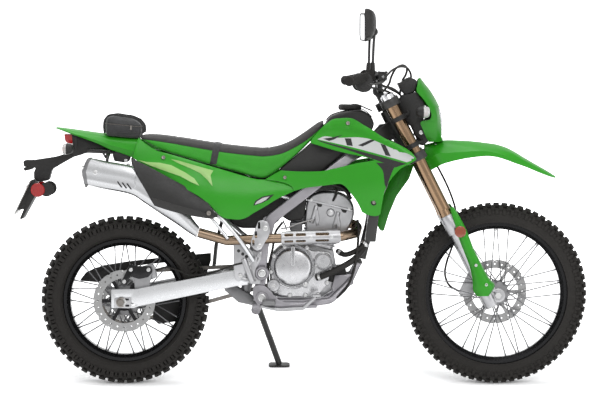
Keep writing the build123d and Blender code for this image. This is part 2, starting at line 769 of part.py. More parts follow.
with BuildPart() as swingarm:
    for hand in (1, -1):
        with BuildSketch(side(arm_inside * hand)):
            with BuildLine():
                Polyline((rear_axle.X - 46, 302), (rear_axle.X - 46, 374), (rear_axle.X + 48, 375), (430, 447),
                         (478, 446), (490, 420), (478, 392), (430, 386), (rear_axle.X + 60, 309),
                         (rear_axle.X + 40, 302), close=True)
            make_face()
            with Locations((rear_axle.X, rear_axle.Z)):
                SlotOverall(46, 2 * (axle_radius + seat_gap), mode=Mode.SUBTRACT)
        extrude(amount=-arm_width * hand)
        with BuildSketch(side(34 * hand)):
            outline([(400, 390), (400, 436), (436, 437), (436, 390)])
            outline([(430, 396), (430, 436), (pivot_x, pivot_z + 24), (pivot_x, pivot_z - 24)])
            with Locations((pivot_x, pivot_z)):
                Circle(24)
                Circle(8 + seat_gap, mode=Mode.SUBTRACT)
        extrude(amount=-26 * hand)
    with BuildSketch(side(arm_inside)):
        with Locations((406, 412)):
            RectangleRounded(62, 46, 8)
    extrude(amount=2 * arm_inside)
    with BuildSketch(side(12)):
        outline([(384, 392), (416, 392), (409, 368), (391, 368)])
    extrude(amount=24)
keep("swingarm", swingarm.part)

pivot_half = spar_centre_y + spar_width / 2
with BuildPart() as pivot_bolt:
    rod((pivot_x, -pivot_half - 1, pivot_z), (pivot_x, pivot_half + 1, pivot_z), 8)
    for hand in (1, -1):
        rod((pivot_x, (pivot_half + 0.3) * hand, pivot_z), (pivot_x, (pivot_half + 9) * hand, pivot_z), 13)

with BuildPart() as rear_axle_bar:
    axle_bar(rear_axle, arm_inside + arm_width + seat_gap, -arm_inside - arm_width - seat_gap, 15)
keep("rear_axle", rear_axle_bar.part)
keep("pivot_bolt", pivot_bolt.part)

shock_top = (541, 0, 626)
shock_foot = (462, 0, 340)
shock_eye_radius = 20
with BuildPart() as rear_shock:
    rod((540, 0, 612), (498, 0, 468), 31)
    rod(shock_top, (512, 0, 520), 14)
    rod((502, 0, 482), shock_foot, shock_eye_radius)

with BuildPart() as shock_linkage:
    for hand in (1, -1):
        with BuildSketch(side((shock_eye_radius + seat_gap + 6) * hand)):
            outline([(384, 384), (412, 388), (470, 356), (515.6, 324), (514, 300), (440, 316), (388, 362)])
        extrude(amount=6 * hand)
        rod((400, (shock_eye_radius + 3) * hand, 376), (400, 12.3 * hand, 376), 7)

keep("rear_suspension", Compound(children=[rear_shock.part, shock_linkage.part]))

# ---- engine ----
fin_count = 5
fin_pitch = 12
fin_wall = 4
cylinder_up = Vector(sin(radians(cylinder_tilt)), 0, cos(radians(cylinder_tilt)))
crank = Vector(crank_x, 0, crank_z)


def barrel_plane(height):
    return Plane(origin=crank + cylinder_up * height,
                 x_dir=(cos(radians(cylinder_tilt)), 0, -sin(radians(cylinder_tilt))), z_dir=cylinder_up)


def deck_point(along):
    # Point on the crankcase deck, just under the cylinder's foot.
    spot = crank + cylinder_up * (cylinder_foot - seat_gap)
    return (spot.X + along * cylinder_up.Z, spot.Z - along * cylinder_up.X)


with BuildPart() as crankcase:
    with BuildSketch(side(case_half)):
        with BuildLine():
            Polyline((574, 346), (610, 336), (760, 336), (812, 372), (822, 436), deck_point(66), deck_point(-66),
                     (600, 536), (564, 500), (562, 400), close=True)
        make_face()
    extrude(amount=2 * case_half)
keep("crankcase", crankcase.part)

clutch_centre = (655, 455)
cover_face = case_half + 60
with BuildPart() as clutch_cover:
    with BuildSketch(side(-case_half - seat_gap)):
        with Locations(clutch_centre):
            Circle(84)
        outline([(590, 380), (640, 346), (740, 346), (782, 392), (790, 440), (804, 476), (790, 520), (700, 532)])
        with Locations((575, 385)):
            Circle(22)
    extrude(amount=34)
    # Bolt bosses round the rim.
    with BuildSketch(side(-case_half - seat_gap)):
        with Locations(clutch_centre):
            with PolarLocations(83, 9, start_angle=12):
                Circle(8)
        with Locations((748, 352), (781, 398)):
            Circle(8)
    extrude(amount=38)
    with BuildSketch(side(-case_half - 34)):
        with Locations(clutch_centre):
            Circle(74)
    extrude(amount=26, taper=14)
    # Raised ring and spokes on the clutch face.
    with BuildSketch(side(-cover_face)):
        with Locations(clutch_centre):
            Circle(48)
            Circle(43, mode=Mode.SUBTRACT)
            with PolarLocations(26, 6):
                Rectangle(38, 4)
            Circle(12)
    extrude(amount=3)
    # Oil filter cap and coolant pump.
    with BuildSketch(side(-case_half - 34)):
        with Locations((768, 482)):
            Circle(30)
        with Locations((575, 385)):
            Circle(19)
    extrude(amount=12, taper=8)
    with BuildSketch(side(-case_half - 34)):
        with Locations((768, 482)):
            with PolarLocations(29, 3, start_angle=90):
                Circle(7)
    extrude(amount=8)

with BuildPart() as magneto_cover:
    with BuildSketch(side(case_half + seat_gap)):
        with Locations((735, 430)):
            Circle(67)
    extrude(amount=-30)
    with BuildSketch(side(case_half + 30)):
        with Locations((735, 430)):
            Circle(58)
    extrude(amount=-18, taper=16)

keep("engine_covers", Compound(children=[clutch_cover.part, magneto_cover.part]))

with BuildPart() as cylinder:
    with BuildSketch(barrel_plane(cylinder_foot)):
        RectangleRounded(124, 108, 16)
    extrude(amount=78)
    for level in range(fin_count):
        with BuildSketch(barrel_plane(cylinder_foot + fin_pitch * (level + 1))):
            RectangleRounded(136, 118, 18)
        extrude(amount=fin_wall)
    with BuildSketch(barrel_plane(190)):
        RectangleRounded(150, 118, 12)
    extrude(amount=74)
    # Cover flange, cover and the ribs that carry its bolts.
    with BuildSketch(barrel_plane(261)):
        RectangleRounded(170, 124, 16)
    extrude(amount=6)
    with BuildSketch(barrel_plane(264)):
        RectangleRounded(164, 112, 14)
    extrude(amount=40, taper=10)
    with BuildSketch(barrel_plane(192)):
        with GridLocations(88, 118, 2, 2):
            Circle(10)
    extrude(amount=69)
keep("cylinder", cylinder.part)

with BuildPart() as air_box:
    with BuildSketch(side(60.2)):
        outline([(600, 660), (672, 652), (690, 700), (684, 736), (640, 736), (600, 720)])
    extrude(amount=120.4)
keep("air_box", air_box.part)

def chain_loop(grow):
    # Closed line that stands off both pitch circles by the same amount: two wraps and two tangent runs.
    span = Vector(counter_x, 0, counter_z) - rear_axle
    slope = atan2(span.Z, span.X)
    spread = asin((rear_pitch_radius - front_pitch_radius) / span.length)
    big, small = rear_pitch_radius + grow, front_pitch_radius + grow
    up, down = slope + pi / 2 - spread, slope - pi / 2 + spread
    top_big = (rear_axle.X + big * cos(up), rear_axle.Z + big * sin(up))
    top_small = (counter_x + small * cos(up), counter_z + small * sin(up))
    low_big = (rear_axle.X + big * cos(down), rear_axle.Z + big * sin(down))
    low_small = (counter_x + small * cos(down), counter_z + small * sin(down))
    with BuildLine() as loop:
        Line(top_big, top_small)
        ThreePointArc(top_small, (counter_x + small * cos(slope), counter_z + small * sin(slope)), low_small)
        Line(low_small, low_big)
        ThreePointArc(low_big, (rear_axle.X - big * cos(slope), rear_axle.Z - big * sin(slope)), top_big)
    return loop


def link_spots():
    # Pins at even steps round the pitch line; an even count, so that inner and outer links alternate.
    line = chain_loop(0).wire()
    count = 2 * round(line.length / chain_pitch / 2)
    return [line @ (index / count) for index in range(count)]


pins = link_spots()
links = list(zip(pins, pins[1:] + pins[:1]))


def link_layer(chosen, y, wall):
    # One layer of side plates, each with cropped corners round its two pins.
    with BuildSketch(side(y)) as layer:
        for start, end in chosen:
            run = end - start
            turn = degrees(atan2(run.Y, run.X))
            with Locations(Location((start.X + run.X / 2, start.Y + run.Y / 2, 0), (0, 0, turn))):
                Rectangle(run.length + plate_height, plate_height)
        chamfer(layer.vertices(), plate_height * 0.3)
    extrude(layer.sketch, amount=wall, clean=False)


inner_width = 7
with BuildPart() as chain:
    with BuildSketch(side(chain_line + inner_width / 2 + 2 * plate_wall + 1)):
        with Locations(*[(pin.X, pin.Y) for pin in pins]):
            RegularPolygon(2.6, 6)
    extrude(amount=inner_width + 4 * plate_wall + 2, clean=False)
    with BuildSketch(side(chain_line + inner_width / 2)):
        with Locations(*[(pin.X, pin.Y) for pin in pins]):
            RegularPolygon(roller_radius, 8)
    extrude(amount=inner_width, clean=False)
    for sign in (1, -1):
        near = chain_line + sign * inner_width / 2
        link_layer(links[::2], near + (plate_wall if sign > 0 else 0), plate_wall)
        link_layer(links[1::2], near + sign * plate_wall + (plate_wall if sign > 0 else 0), plate_wall)

# Front sprocket between the side plates: a disc whose edge lies just inside the rollers.
with BuildPart() as front_sprocket:
    with BuildSketch(side(chain_line + sprocket_wall / 2)):
        with Locations((counter_x, counter_z)):
            Circle(front_pitch_radius - roller_radius - running_gap)
    extrude(amount=sprocket_wall)
    with BuildSketch(side(chain_line - sprocket_wall / 2)):
        with Locations((counter_x, counter_z)):
            Circle(17)
    extrude(amount=chain_line - sprocket_wall / 2 - case_half - seat_gap)
    with BuildSketch(side(chain_line + sprocket_wall / 2 + 6)):
        with Locations((counter_x, counter_z)):
            RegularPolygon(15, 6)
    extrude(amount=6)
keep("chain_drive", Compound(children=[chain.part, front_sprocket.part]))

with BuildPart() as chain_guard:
    with BuildSketch(side(arm_inside - 0.4)):
        tail = rear_axle.X
        outline([(tail - 160, 412), (tail - 100, 450), (tail, 466), (tail + 150, 484), (330, 500), (330, 470),
                 (310, 410), (280, 410), (250, 462), (tail + 150, 462), (tail + 10, 448), (tail, 368),
                 (tail - 30, 368), (tail - 50, 440), (tail - 90, 432), (tail - 150, 400)])
    extrude(amount=3)

# Chain guide under the left arm: a block that the lower run passes through.
with BuildPart() as chain_guide:
    with BuildSketch(side(arm_inside + arm_width / 2)):
        outline([(100, 317), (215, 340.9), (205, 262), (190, 232), (125, 222), (104, 240)])
    extrude(amount=arm_inside + arm_width / 2 - chain_line + 11)
    with BuildSketch(side(chain_line + 8.5)) as slot:
        for grow, mode in ((12, Mode.ADD), (-12, Mode.SUBTRACT)):
            make_face(chain_loop(grow).edges(), mode=mode)
    extrude(slot.sketch, amount=17, mode=Mode.SUBTRACT)

# ---- exhaust ----
with BuildPart() as exhaust_header:
    tube([(850, 0, 628), (902, -6, 612), (894, -88, 590), (840, -127, 580), (560, -127, 571),
          (400, -120, 563), (290, -116, 594)], pipe_radius, 24)
keep("exhaust_header", exhaust_header.part)

with BuildPart() as header_guard:
    with BuildSketch(Plane(origin=(600, -127, 572.4), x_dir=(0, 1, 0), z_dir=(290, 0, 9))):
        Circle(pipe_radius + 9)
        Circle(pipe_radius + 6, mode=Mode.SUBTRACT)
        with Locations((pipe_radius + 9, 0)):
            Rectangle(2 * pipe_radius + 24, 4 * pipe_radius, mode=Mode.SUBTRACT)
    extrude(amount=225)
    for reach in (12, 205):
        with BuildSketch(Plane(origin=(600 + reach, -127, 572.4 + reach * 0.031), x_dir=(0, 1, 0),
                               z_dir=(290, 0, 9))):
            Circle(pipe_radius + 7)
            Circle(pipe_radius + seat_gap, mode=Mode.SUBTRACT)
        extrude(amount=8)
    with BuildSketch(side(-127)):
        with Locations((712, 576)):
            with GridLocations(33, 20, 5, 2):
                SlotOverall(22, 7)
    extrude(amount=60, mode=Mode.SUBTRACT)

muffler_stations = [((-148, 828), (1, 0.12), 84, 100), ((40, 790), (1, -0.25), 86, 104),
                    ((150, 724), (0.8, -0.6), 82, 96), ((226, 652), (0.66, -0.75), 62, 66),
                    ((289.5, 594.1), (0.963, -0.271), 42, 42)]
with BuildPart() as silencer:
    for (x, z), (run, rise), wide, tall in muffler_stations:
        with BuildSketch(Plane(origin=(x, -130 if tall > 60 else -116, z), x_dir=(0, 1, 0),
                               z_dir=(run, 0, rise))):
            RectangleRounded(wide, tall, wide * 0.42)
    loft(ruled=True)
    # End cap with a rolled lip, and the outlet.
    end_plane = Plane(origin=(-148, -130, 828), x_dir=(0, 1, 0), z_dir=(1, 0, 0.12))
    with BuildSketch(end_plane):
        RectangleRounded(88, 104, 37)
    extrude(amount=12)
    with BuildSketch(end_plane):
        Circle(24)
    extrude(amount=-5)
    with BuildSketch(end_plane):
        Circle(19)
    extrude(amount=70, both=True, mode=Mode.SUBTRACT)
keep("silencer", silencer.part)

with BuildPart() as heat_shield:
    with BuildSketch(side(-172.4)):
        outline([(38, 865), (100, 830), (200, 782), (300, 728), (340, 695), (365, 660), (340, 650),
                 (300, 655), (250, 665), (200, 677), (125, 700), (100, 745), (60, 810)])
    extrude(amount=4)
keep("exhaust_guards", Compound(children=[header_guard.part, heat_shield.part]))

with BuildPart() as radiator:
    for hand in (1, -1):
        with BuildSketch(side(70 * hand)):
            outline([(960, 820), (1000, 820), (968, 560), (928, 560)])
        extrude(amount=-76 * hand)
        rod((967, 19.6 * hand, 700), (967, 72 * hand, 700), 7)
keep("radiator", radiator.part)

# ---- bodywork ----
tank_outline = [(640, 800), (640, 852), (718, 922), (772, 980), (784, 1022), (800, 1041), (830, 1052),
                (920, 1066), (952, 1060), (976, 1038), (982, 1012), (966, 984), (900, 934), (740, 800)]
with BuildPart() as fuel_tank:
    with BuildSketch(side(110)):
        outline(tank_outline)
    extrude(amount=220)
    with BuildSketch(Plane.XY.offset(760)):
        half_plan = [(630, 60), (760, 84), (868, 84), (904, 62), (930, 44), (952, 28), (990, 22)]
        outline(half_plan + [(x, -y) for x, y in reversed(half_plan)])
    extrude(amount=400, mode=Mode.INTERSECT)
    for hand in (1, -1):
        with BuildSketch(side(70 * hand)):
            outline([(600, 640), (700, 771), (868, 906.4), (1000, 980), (1040, 900), (800, 700)])
        extrude(amount=-60 * hand, mode=Mode.SUBTRACT)
keep("fuel_tank", fuel_tank.part)

with BuildPart() as fuel_cap:
    with BuildSketch(Plane.XY.offset(1065.4)):
        with Locations((872, 0)):
            Circle(42)
    extrude(amount=17, taper=6)
keep("fuel_cap", fuel_cap.part)

seat_stations = [(60, 90, 952, 968), (150, 104, 905, 963), (300, 110, 864, 941), (430, 106, 824, 922),
                 (545, 96, 800, 914), (650, 80, 874, 945), (720, 66, 940, 992), (772, 54, 1004, 1026)]
with BuildPart() as seat:
    for x, half, low, top in seat_stations:
        with BuildSketch(across(x)):
            outline(mirrored_points([(half - 6, low), (half, low + (top - low) * 0.5),
                                     (half * 0.8, top - 4), (0, top)]))
    loft(ruled=True)
keep("seat", seat.part)

with BuildPart() as tool_bag:
    with BuildSketch(Plane.XY.offset(966)):
        with Locations((-1.3, 0)):
            RectangleRounded(121.4, 170, 30)
    with BuildSketch(Plane.XY.offset(1036)):
        with Locations((2, 0)):
            RectangleRounded(108, 140, 30)
    loft()
keep("tool_bag", tool_bag.part)


def flank(stations, centre_y):
    # Right-hand panel body: each station lists outer points from top to bottom as (half width, z).
    for x, points in stations:
        with BuildSketch(across(x)) as section:
            outline([(-centre_y, points[0][1])] + [(-y, z) for y, z in points]
                    + [(-centre_y, points[-1][1])])
        yield section.sketch


def thin_panel(stations, centre_y, border, bosses):
    # Skin with one wall's thickness, trimmed to its outline as seen from the side. Each boss is a round
    # post (x, z, half width where it starts) that reaches from what carries the panel to the skin.
    loft(list(flank(stations, centre_y)))
    last = len(stations[0][1]) - 1
    spread = {0: 60, last: -60}
    inner = [(x, [(y - panel_wall, z + spread.get(i, 0)) for i, (y, z) in enumerate(points)])
             for x, points in stations]
    hollow = loft(list(flank(inner, centre_y - 40)), mode=Mode.PRIVATE)
    for x, z, start in bosses:
        hollow -= Pos(x, -start - 100, z) * Rot(90, 0, 0) * Cylinder(7, 200, mode=Mode.PRIVATE)
    add(hollow, mode=Mode.SUBTRACT)
    with BuildSketch(side(0)) as border_sketch:
        outline(border)
    extrude(border_sketch.sketch, amount=260, mode=Mode.INTERSECT)


side_stations = [
    (20, [(98, 985), (108, 950), (116, 915), (120, 895), (120, 850)]),
    (200, [(108, 910), (122, 880), (140, 850), (152, 815), (156, 760)]),
    (350, [(114, 870), (130, 835), (150, 790), (160, 735), (156, 650)]),
    (500, [(104, 825), (116, 795), (130, 755), (134, 710), (126, 630)]),
    (670, [(100, 800), (106, 780), (112, 765), (114, 750), (110, 720)])]
side_border = [(60, 956), (100, 925), (150, 903), (200, 890), (300, 860), (400, 828), (500, 799), (545, 796),
               (600, 788), (655, 772), (655, 752), (600, 727), (550, 697), (500, 668), (480, 655),
               (400, 650), (360, 675), (300, 733), (200, 788), (100, 838), (40, 882)]
with BuildPart() as side_panels:
    thin_panel(side_stations, 40, side_border, [(430, 802, 80.4), (180, 876, 76.6)])
    mirror(about=Plane.XZ)
keep("side_panels", side_panels.part)

shroud_stations = [
    (530, [(108, 900), (112, 860), (114, 830), (114, 800), (108, 740)]),
    (700, [(92, 1000), (104, 950), (126, 880), (128, 800), (120, 720)]),
    (850, [(98, 1060), (114, 980), (144, 900), (158, 800), (146, 660)]),
    (1000, [(124, 1040), (150, 960), (176, 880), (184, 790), (160, 640)]),
    (1135, [(160, 1000), (174, 930), (186, 880), (186, 820), (170, 700)])]
shroud_border = [(545, 797), (605, 832), (700, 828), (800, 838), (900, 862), (960, 872), (830, 905),
                 (720, 937), (722, 948), (760, 990), (800, 1025), (830, 1030), (890, 1025), (950, 990),
                 (1000, 957), (1060, 930), (1120, 880), (1090, 855), (1040, 820), (1005, 775), (995, 715),
                 (985, 668), (960, 660), (915, 675), (905, 700), (870, 750), (830, 783), (760, 774),
                 (700, 765), (655, 753), (655, 773), (600, 789)]
with BuildPart() as shrouds:
    thin_panel(shroud_stations, 40, shroud_border, [(964, 740, 146.4), (862, 1004, 86.4)])
    mirror(about=Plane.XZ)
keep("shrouds", shrouds.part)

tail_stations = [(56, 96, 890, 930, 950), (0, 92, 896, 936, 954), (-100, 80, 934, 956, 974),
                 (-200, 60, 966, 975, 989), (-262, 36, 984, 987, 996)]
with BuildPart() as rear_fender:
    loft(list(shell_sections(tail_stations, 0)))
    loft(list(shell_sections(tail_stations, panel_wall)), mode=Mode.SUBTRACT)
keep("rear_fender", rear_fender.part)

with BuildPart() as plate_holder:
    with BuildSketch(side(30)):
        outline([(-390, 867), (-350, 868), (-270, 880), (-195, 900), (-60, 906), (-60, 890), (-195, 882),
                 (-240, 855), (-280, 832), (-345, 838), (-390, 843)])
    extrude(amount=60)
    with BuildSketch(side(30)):
        outline([(-196, 978.5), (-100, 966), (-20, 950), (-40, 905), (-160, 890), (-186, 910)])
    extrude(amount=60)
    with BuildSketch(Plane(origin=(-352, 0, 838), x_dir=(0, 1, 0), z_dir=(-0.93, 0, 0.37))):
        with Locations((0, -80)):
            RectangleRounded(180, 150, 10)
    extrude(amount=4)
keep("plate_holder", plate_holder.part)

with BuildPart() as tail_light:
    with BuildSketch(side(50)):
        outline([(-230, 940), (-222, 970), (-196.4, 970), (-186.4, 910.4), (-204, 912)])
    extrude(amount=100)
keep("tail_light", tail_light.part)

with BuildPart() as rear_turn_signals:
    for hand in (1, -1):
        rod((-196, 50.6 * hand, 915), (-196, 122 * hand, 915), 7)
        with BuildSketch(across(-228)):
            with Locations((145 * hand, 915)):
                Ellipse(30, 21)
        extrude(amount=42)
keep("rear_turn_signals", rear_turn_signals.part)

with BuildPart() as foot_pegs:
    for hand in (1, -1):
        rod((560, 105.4 * hand, 330), (560, 117 * hand, 330), 14)
        with BuildSketch(Plane.XY.offset(322)):
            with Locations((560, 164 * hand)):
                RectangleRounded(50, 96, 6)
        extrude(amount=16)
keep("foot_pegs", foot_pegs.part)

with BuildPart() as brake_pedal:
    tube([(530, -cradle_y - cradle_radius - seat_gap, 313), (530, -127, 312), (600, -131, 298), (690, -136, 304),
          (740, -150, 350)], 7, 12)
    with BuildSketch(Plane.XY.offset(352)):
        with Locations((742, -158)):
            RectangleRounded(34, 44, 5)
    extrude(amount=7)

with BuildPart() as shift_lever:
    tube([(650, case_half + seat_gap, 366), (650, 124, 366), (722, 130, 380), (722, 172, 380)], 7, 14)

# Heel plate on the right spar, with the brake's master cylinder outside it.
heel_y = -118
with BuildPart() as heel_plate:
    with BuildSketch(side(heel_y)):
        outline([(500, 395), (526, 397), (528, 415), (508, 424), (508, 452), (530, 492), (532, 520), (500, 524),
                 (440, 500), (426, 470), (436, 415)])
        with Locations((458, 462), (474, 428), (478, 496)):
            Circle(9, mode=Mode.SUBTRACT)
    extrude(amount=3)
    for x, z in ((519, 505), (513, 407)):
        rod((x, -spar_centre_y - spar_width / 2 - seat_gap, z), (x, heel_y - 7, z), 7)
    rod((464, heel_y - 14, 494), (496, heel_y - 14, 404), 11)
    for x, z in ((466, 488), (493, 412)):
        rod((x, heel_y, z), (x, heel_y - 14, z), 7)

keep("foot_controls", Compound(children=[brake_pedal.part, shift_lever.part, heel_plate.part]))

with BuildPart() as rear_brake_hose:
    hose("rear_brake_hose", [
        (122.1, -60, 445), (164, -60.5, 458.6), (212, -75, 444), (258, -90, 424), (305, -94, 430),
        (350, -97, 441), (393, -108, 456), (425, -128, 470), (456.6, -132, 477)], 3.5)
keep("rear_brake_hose", rear_brake_hose.part)

with BuildPart() as rear_caliper:
    with BuildSketch(side(rear_disc_y + 12)):
        with Locations((rear_axle.X + 76, rear_axle.Z + 105)):
            RectangleRounded(96, 58, 14, rotation=18)
    extrude(amount=34)
    with BuildSketch(side(rear_disc_y + 4)):
        with Locations((rear_axle.X, rear_axle.Z)):
            Circle(124)
    extrude(amount=12, mode=Mode.SUBTRACT)
    plate_y = rear_disc_y - 21
    with BuildSketch(side(plate_y)):
        tail = rear_axle.X
        outline([(tail + 40, 430), (tail + 112, 446), (tail + 92, 352), (tail + 44, 346)])
    extrude(amount=arm_inside + plate_y - 0.4)
keep("rear_caliper", rear_caliper.part)

with BuildPart() as mud_flap:
    with BuildSketch(side(61.6)):
        outline([(372, 640), (384, 640), (360, 540), (352, 460), (340, 460), (348, 540)])
    extrude(amount=123.2)
keep("wheel_guards", Compound(children=[chain_guard.part, chain_guide.part, mud_flap.part]))

# ================================ side stand ================================
# The foot's sole lies in the floor plane of the leaned machine.


def floor_z(y):
    return (y * sin(radians(park_lean)) - park_lift) / cos(radians(park_lean))


foot = Vector(stand_foot[0], stand_foot[1], floor_z(stand_foot[1]))
pivot = Vector(*stand_pivot)
with BuildPart() as side_stand:
    rod(pivot, foot + Vector(0, 0, 8), stand_radius)
    floor_plane = Plane(origin=foot, x_dir=(1, 0, 0),
                        z_dir=(0, -sin(radians(park_lean)), cos(radians(park_lean))))
    with BuildSketch(floor_plane):
        RectangleRounded(84, 54, 16)
    extrude(amount=7)
    with BuildSketch(Plane(origin=pivot, z_dir=stand_axis)):
        Circle(20)
    extrude(amount=14, both=True)
keep("side_stand", side_stand.part)

# ================================ parked placing ================================
lean = Location((0, 0, park_lift), (-park_lean, 0, 0))
leaned = Compound(children=[shape.moved(lean) for shape in pieces.values()])
box = leaned.bounding_box()
shift = Location((-(box.min.X + box.max.X) / 2, -(box.min.Y + box.max.Y) / 2, 0))
parked = shift * lean

os.makedirs("parts", exist_ok=True)
for name, shape in pieces.items():
    placed = shape.moved(parked)
    placed.label = name
    export_step(placed, f"parts/{name}.step")


def row_point(point):
    spot = parked * Location(tuple(point))
    return tuple(round(value / 1000, 6) for value in spot.position)


def row_direction(direction):
    tip = (parked * Location(tuple(direction))).position - parked.position
    return tuple(round(value, 6) for value in tip.normalized())


print("steering", row_point(head_point), row_direction(steer_up))
print("front_wheel", row_point(front_axle), row_direction(Vector(0, 1, 0)))
print("rear_wheel", row_point(rear_axle), row_direction(Vector(0, 1, 0)))
print("side_stand", row_point(pivot), row_direction(stand_axis))
print("stand_foot", row_point(foot))
print("box", [round(value) for value in (box.size.X, box.size.Y, box.size.Z)], round(box.min.Z, 3))
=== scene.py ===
import bmesh
import bpy
import json
from contextlib import contextmanager
from math import atan2, cos, hypot, pi, radians, sin, sqrt
from mathutils import Matrix, Vector
from mathutils.bvhtree import BVHTree

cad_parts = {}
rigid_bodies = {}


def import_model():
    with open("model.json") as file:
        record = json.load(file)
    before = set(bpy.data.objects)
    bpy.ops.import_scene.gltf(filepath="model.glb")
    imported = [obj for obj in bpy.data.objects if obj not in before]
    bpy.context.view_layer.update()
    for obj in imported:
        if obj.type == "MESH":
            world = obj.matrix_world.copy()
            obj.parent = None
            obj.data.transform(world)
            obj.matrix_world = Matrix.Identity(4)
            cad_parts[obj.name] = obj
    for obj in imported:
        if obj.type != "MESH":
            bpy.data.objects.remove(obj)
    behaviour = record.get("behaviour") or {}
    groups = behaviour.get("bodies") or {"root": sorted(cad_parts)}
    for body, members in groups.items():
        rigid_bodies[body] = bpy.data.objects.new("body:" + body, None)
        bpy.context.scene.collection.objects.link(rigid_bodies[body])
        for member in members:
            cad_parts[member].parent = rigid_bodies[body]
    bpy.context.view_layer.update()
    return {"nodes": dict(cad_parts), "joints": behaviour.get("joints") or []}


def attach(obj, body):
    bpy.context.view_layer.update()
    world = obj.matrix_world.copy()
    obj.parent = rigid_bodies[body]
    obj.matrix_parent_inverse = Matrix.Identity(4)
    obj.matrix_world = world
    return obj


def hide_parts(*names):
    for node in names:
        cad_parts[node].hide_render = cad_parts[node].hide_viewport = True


for stray in list(bpy.data.objects):
    bpy.data.objects.remove(stray)
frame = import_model()

# Pieces are drawn on the upright machine in millimetres: x forward from the rear axle, y left, z up.
# Its place in the row frame comes from the rear wheel's joint.
joints = {joint["name"]: joint for joint in frame["joints"]}
wheel = {"rearRadius": 325, "rearWidth": 114, "frontRadius": 351, "frontWidth": 86, "crown": 55,
         "rearBead": 228.6, "frontBead": 266.7, "spokes": 36}
forward = Vector((1, 0, 0))
leftward = Vector(joints["rear_wheel"]["axis"]).normalized()
upward = forward.cross(leftward)
rearAxle = Vector((0, 0, wheel["rearRadius"]))
machine = Matrix((forward, leftward, upward)).transposed().to_4x4()
machine.translation = joints["rear_wheel"]["pos_m"]
machine = machine @ Matrix.Scale(0.001, 4) @ Matrix.Translation(-rearAxle)
fromRow = machine.inverted()
frontAxle = fromRow @ Vector(joints["front_wheel"]["pos_m"])
headPoint = fromRow @ Vector(joints["steering"]["pos_m"])
steerUp = (fromRow.to_3x3() @ Vector(joints["steering"]["axis"])).normalized()
steerFore = Vector((0, 1, 0)).cross(steerUp)
print("stage: frame loaded", [round(v) for v in frontAxle], [round(v) for v in headPoint])


def linked(name, data):
    made = bpy.data.objects.new(name, data)
    bpy.context.scene.collection.objects.link(made)
    return made


def newPiece(name, points, faces):
    mesh = bpy.data.meshes.new(name)
    mesh.from_pydata([tuple(point) for point in points], [], faces)
    mesh.update()
    return linked(name, mesh)


def added(tree, kind, sockets=None, **settings):
    # A node with its settings. Each socket takes a value, or another node's output, which is linked.
    made = tree.nodes.new(kind)
    for key, value in settings.items():
        setattr(made, key, value)
    for socket, value in (sockets or {}).items():
        if isinstance(value, bpy.types.NodeSocket):
            tree.links.new(value, made.inputs[socket])
        else:
            made.inputs[socket].default_value = value
    return made


# Camera distances and aim in millimetres on the machine; floor, lamps and glow in metres.
studio = {"distance": 9000, "elevation": 3.2, "lens": 139.2, "sensor": 36, "aim": (679, 0, 712), "ambient": 0.36,
          "floorHalf": 20, "floorShade": 0.86, "paper": 1.66, "glowNear": (1.2, 0.12), "glowFar": (3.2, 1.0),
          # name, place, aim, size, power
          "lamps": (("keyLight", (1.2, -4.2, 4.2), (0, 0, 0.6), 3.4, 105),
                    ("topLight", (-0.6, 0.6, 5.0), (0, 0, 0.5), 4.6, 120),
                    ("rimLight", (-3.8, 2.6, 2.6), (0, 0, 0.7), 2.2, 40),
                    ("fillLight", (3.6, -2.4, 1.4), (0, 0, 0.6), 2.6, 22))}


def lightPathWhite(tree):
    # The backdrop shows white to the eye, to mirrors and through glass, without lighting the machine.
    path = added(tree, "ShaderNodeLightPath").outputs
    seen = path["Is Camera Ray"]
    for ray in ("Is Glossy Ray", "Is Transmission Ray"):
        seen = added(tree, "ShaderNodeMath", {0: seen, 1: path[ray]}, operation="MAXIMUM").outputs[0]
    return seen


def buildWorld():
    world = bpy.data.worlds.new("studio")
    bpy.context.scene.world = world
    world.use_nodes = True
    tree = world.node_tree
    tree.nodes.clear()
    ambient = added(tree, "ShaderNodeBackground", {"Color": (0.97, 0.98, 1.0, 1), "Strength": studio["ambient"]})
    backdrop = added(tree, "ShaderNodeBackground", {"Color": (1, 1, 1, 1), "Strength": 1.0})
    mix = added(tree, "ShaderNodeMixShader", {0: lightPathWhite(tree), 1: ambient.outputs[0], 2: backdrop.outputs[0]})
    added(tree, "ShaderNodeOutputWorld", {0: mix.outputs[0]})


def buildFloor():
    half = studio["floorHalf"]
    floor = newPiece("floor", [(-half, -half, 0), (half, -half, 0), (half, half, 0), (-half, half, 0)], [(0, 1, 2, 3)])
    material = bpy.data.materials.new("floorPale")
    material.use_nodes = True
    tree = material.node_tree
    shader = tree.nodes["Principled BSDF"]
    shader.inputs["Base Color"].default_value = (*[studio["floorShade"]] * 3, 1)
    shader.inputs["Roughness"].default_value = 0.6
    shader.inputs["Specular IOR Level"].default_value = 0.2
    # The eye sees a paler floor than the machine does, and white paper from a few metres away.
    paper = added(tree, "ShaderNodeBsdfDiffuse", {"Color": (*[studio["paper"]] * 3, 1)})
    coords = added(tree, "ShaderNodeTexCoord")
    reach = added(tree, "ShaderNodeVectorMath", {0: coords.outputs["Object"]}, operation="LENGTH")
    (near, dim), (far, bright) = studio["glowNear"], studio["glowFar"]
    fade = added(tree, "ShaderNodeMapRange", {"Value": reach.outputs["Value"], "From Min": near, "From Max": far,
                                              "To Min": dim, "To Max": bright})
    glow = added(tree, "ShaderNodeEmission", {"Strength": fade.outputs["Result"]})
    shown = added(tree, "ShaderNodeAddShader", {0: paper.outputs[0], 1: glow.outputs[0]})
    weigh = added(tree, "ShaderNodeMixShader", {0: lightPathWhite(tree), 1: shader.outputs[0], 2: shown.outputs[0]})
    tree.links.new(weigh.outputs[0], tree.nodes["Material Output"].inputs[0])
    floor.data.materials.append(material)


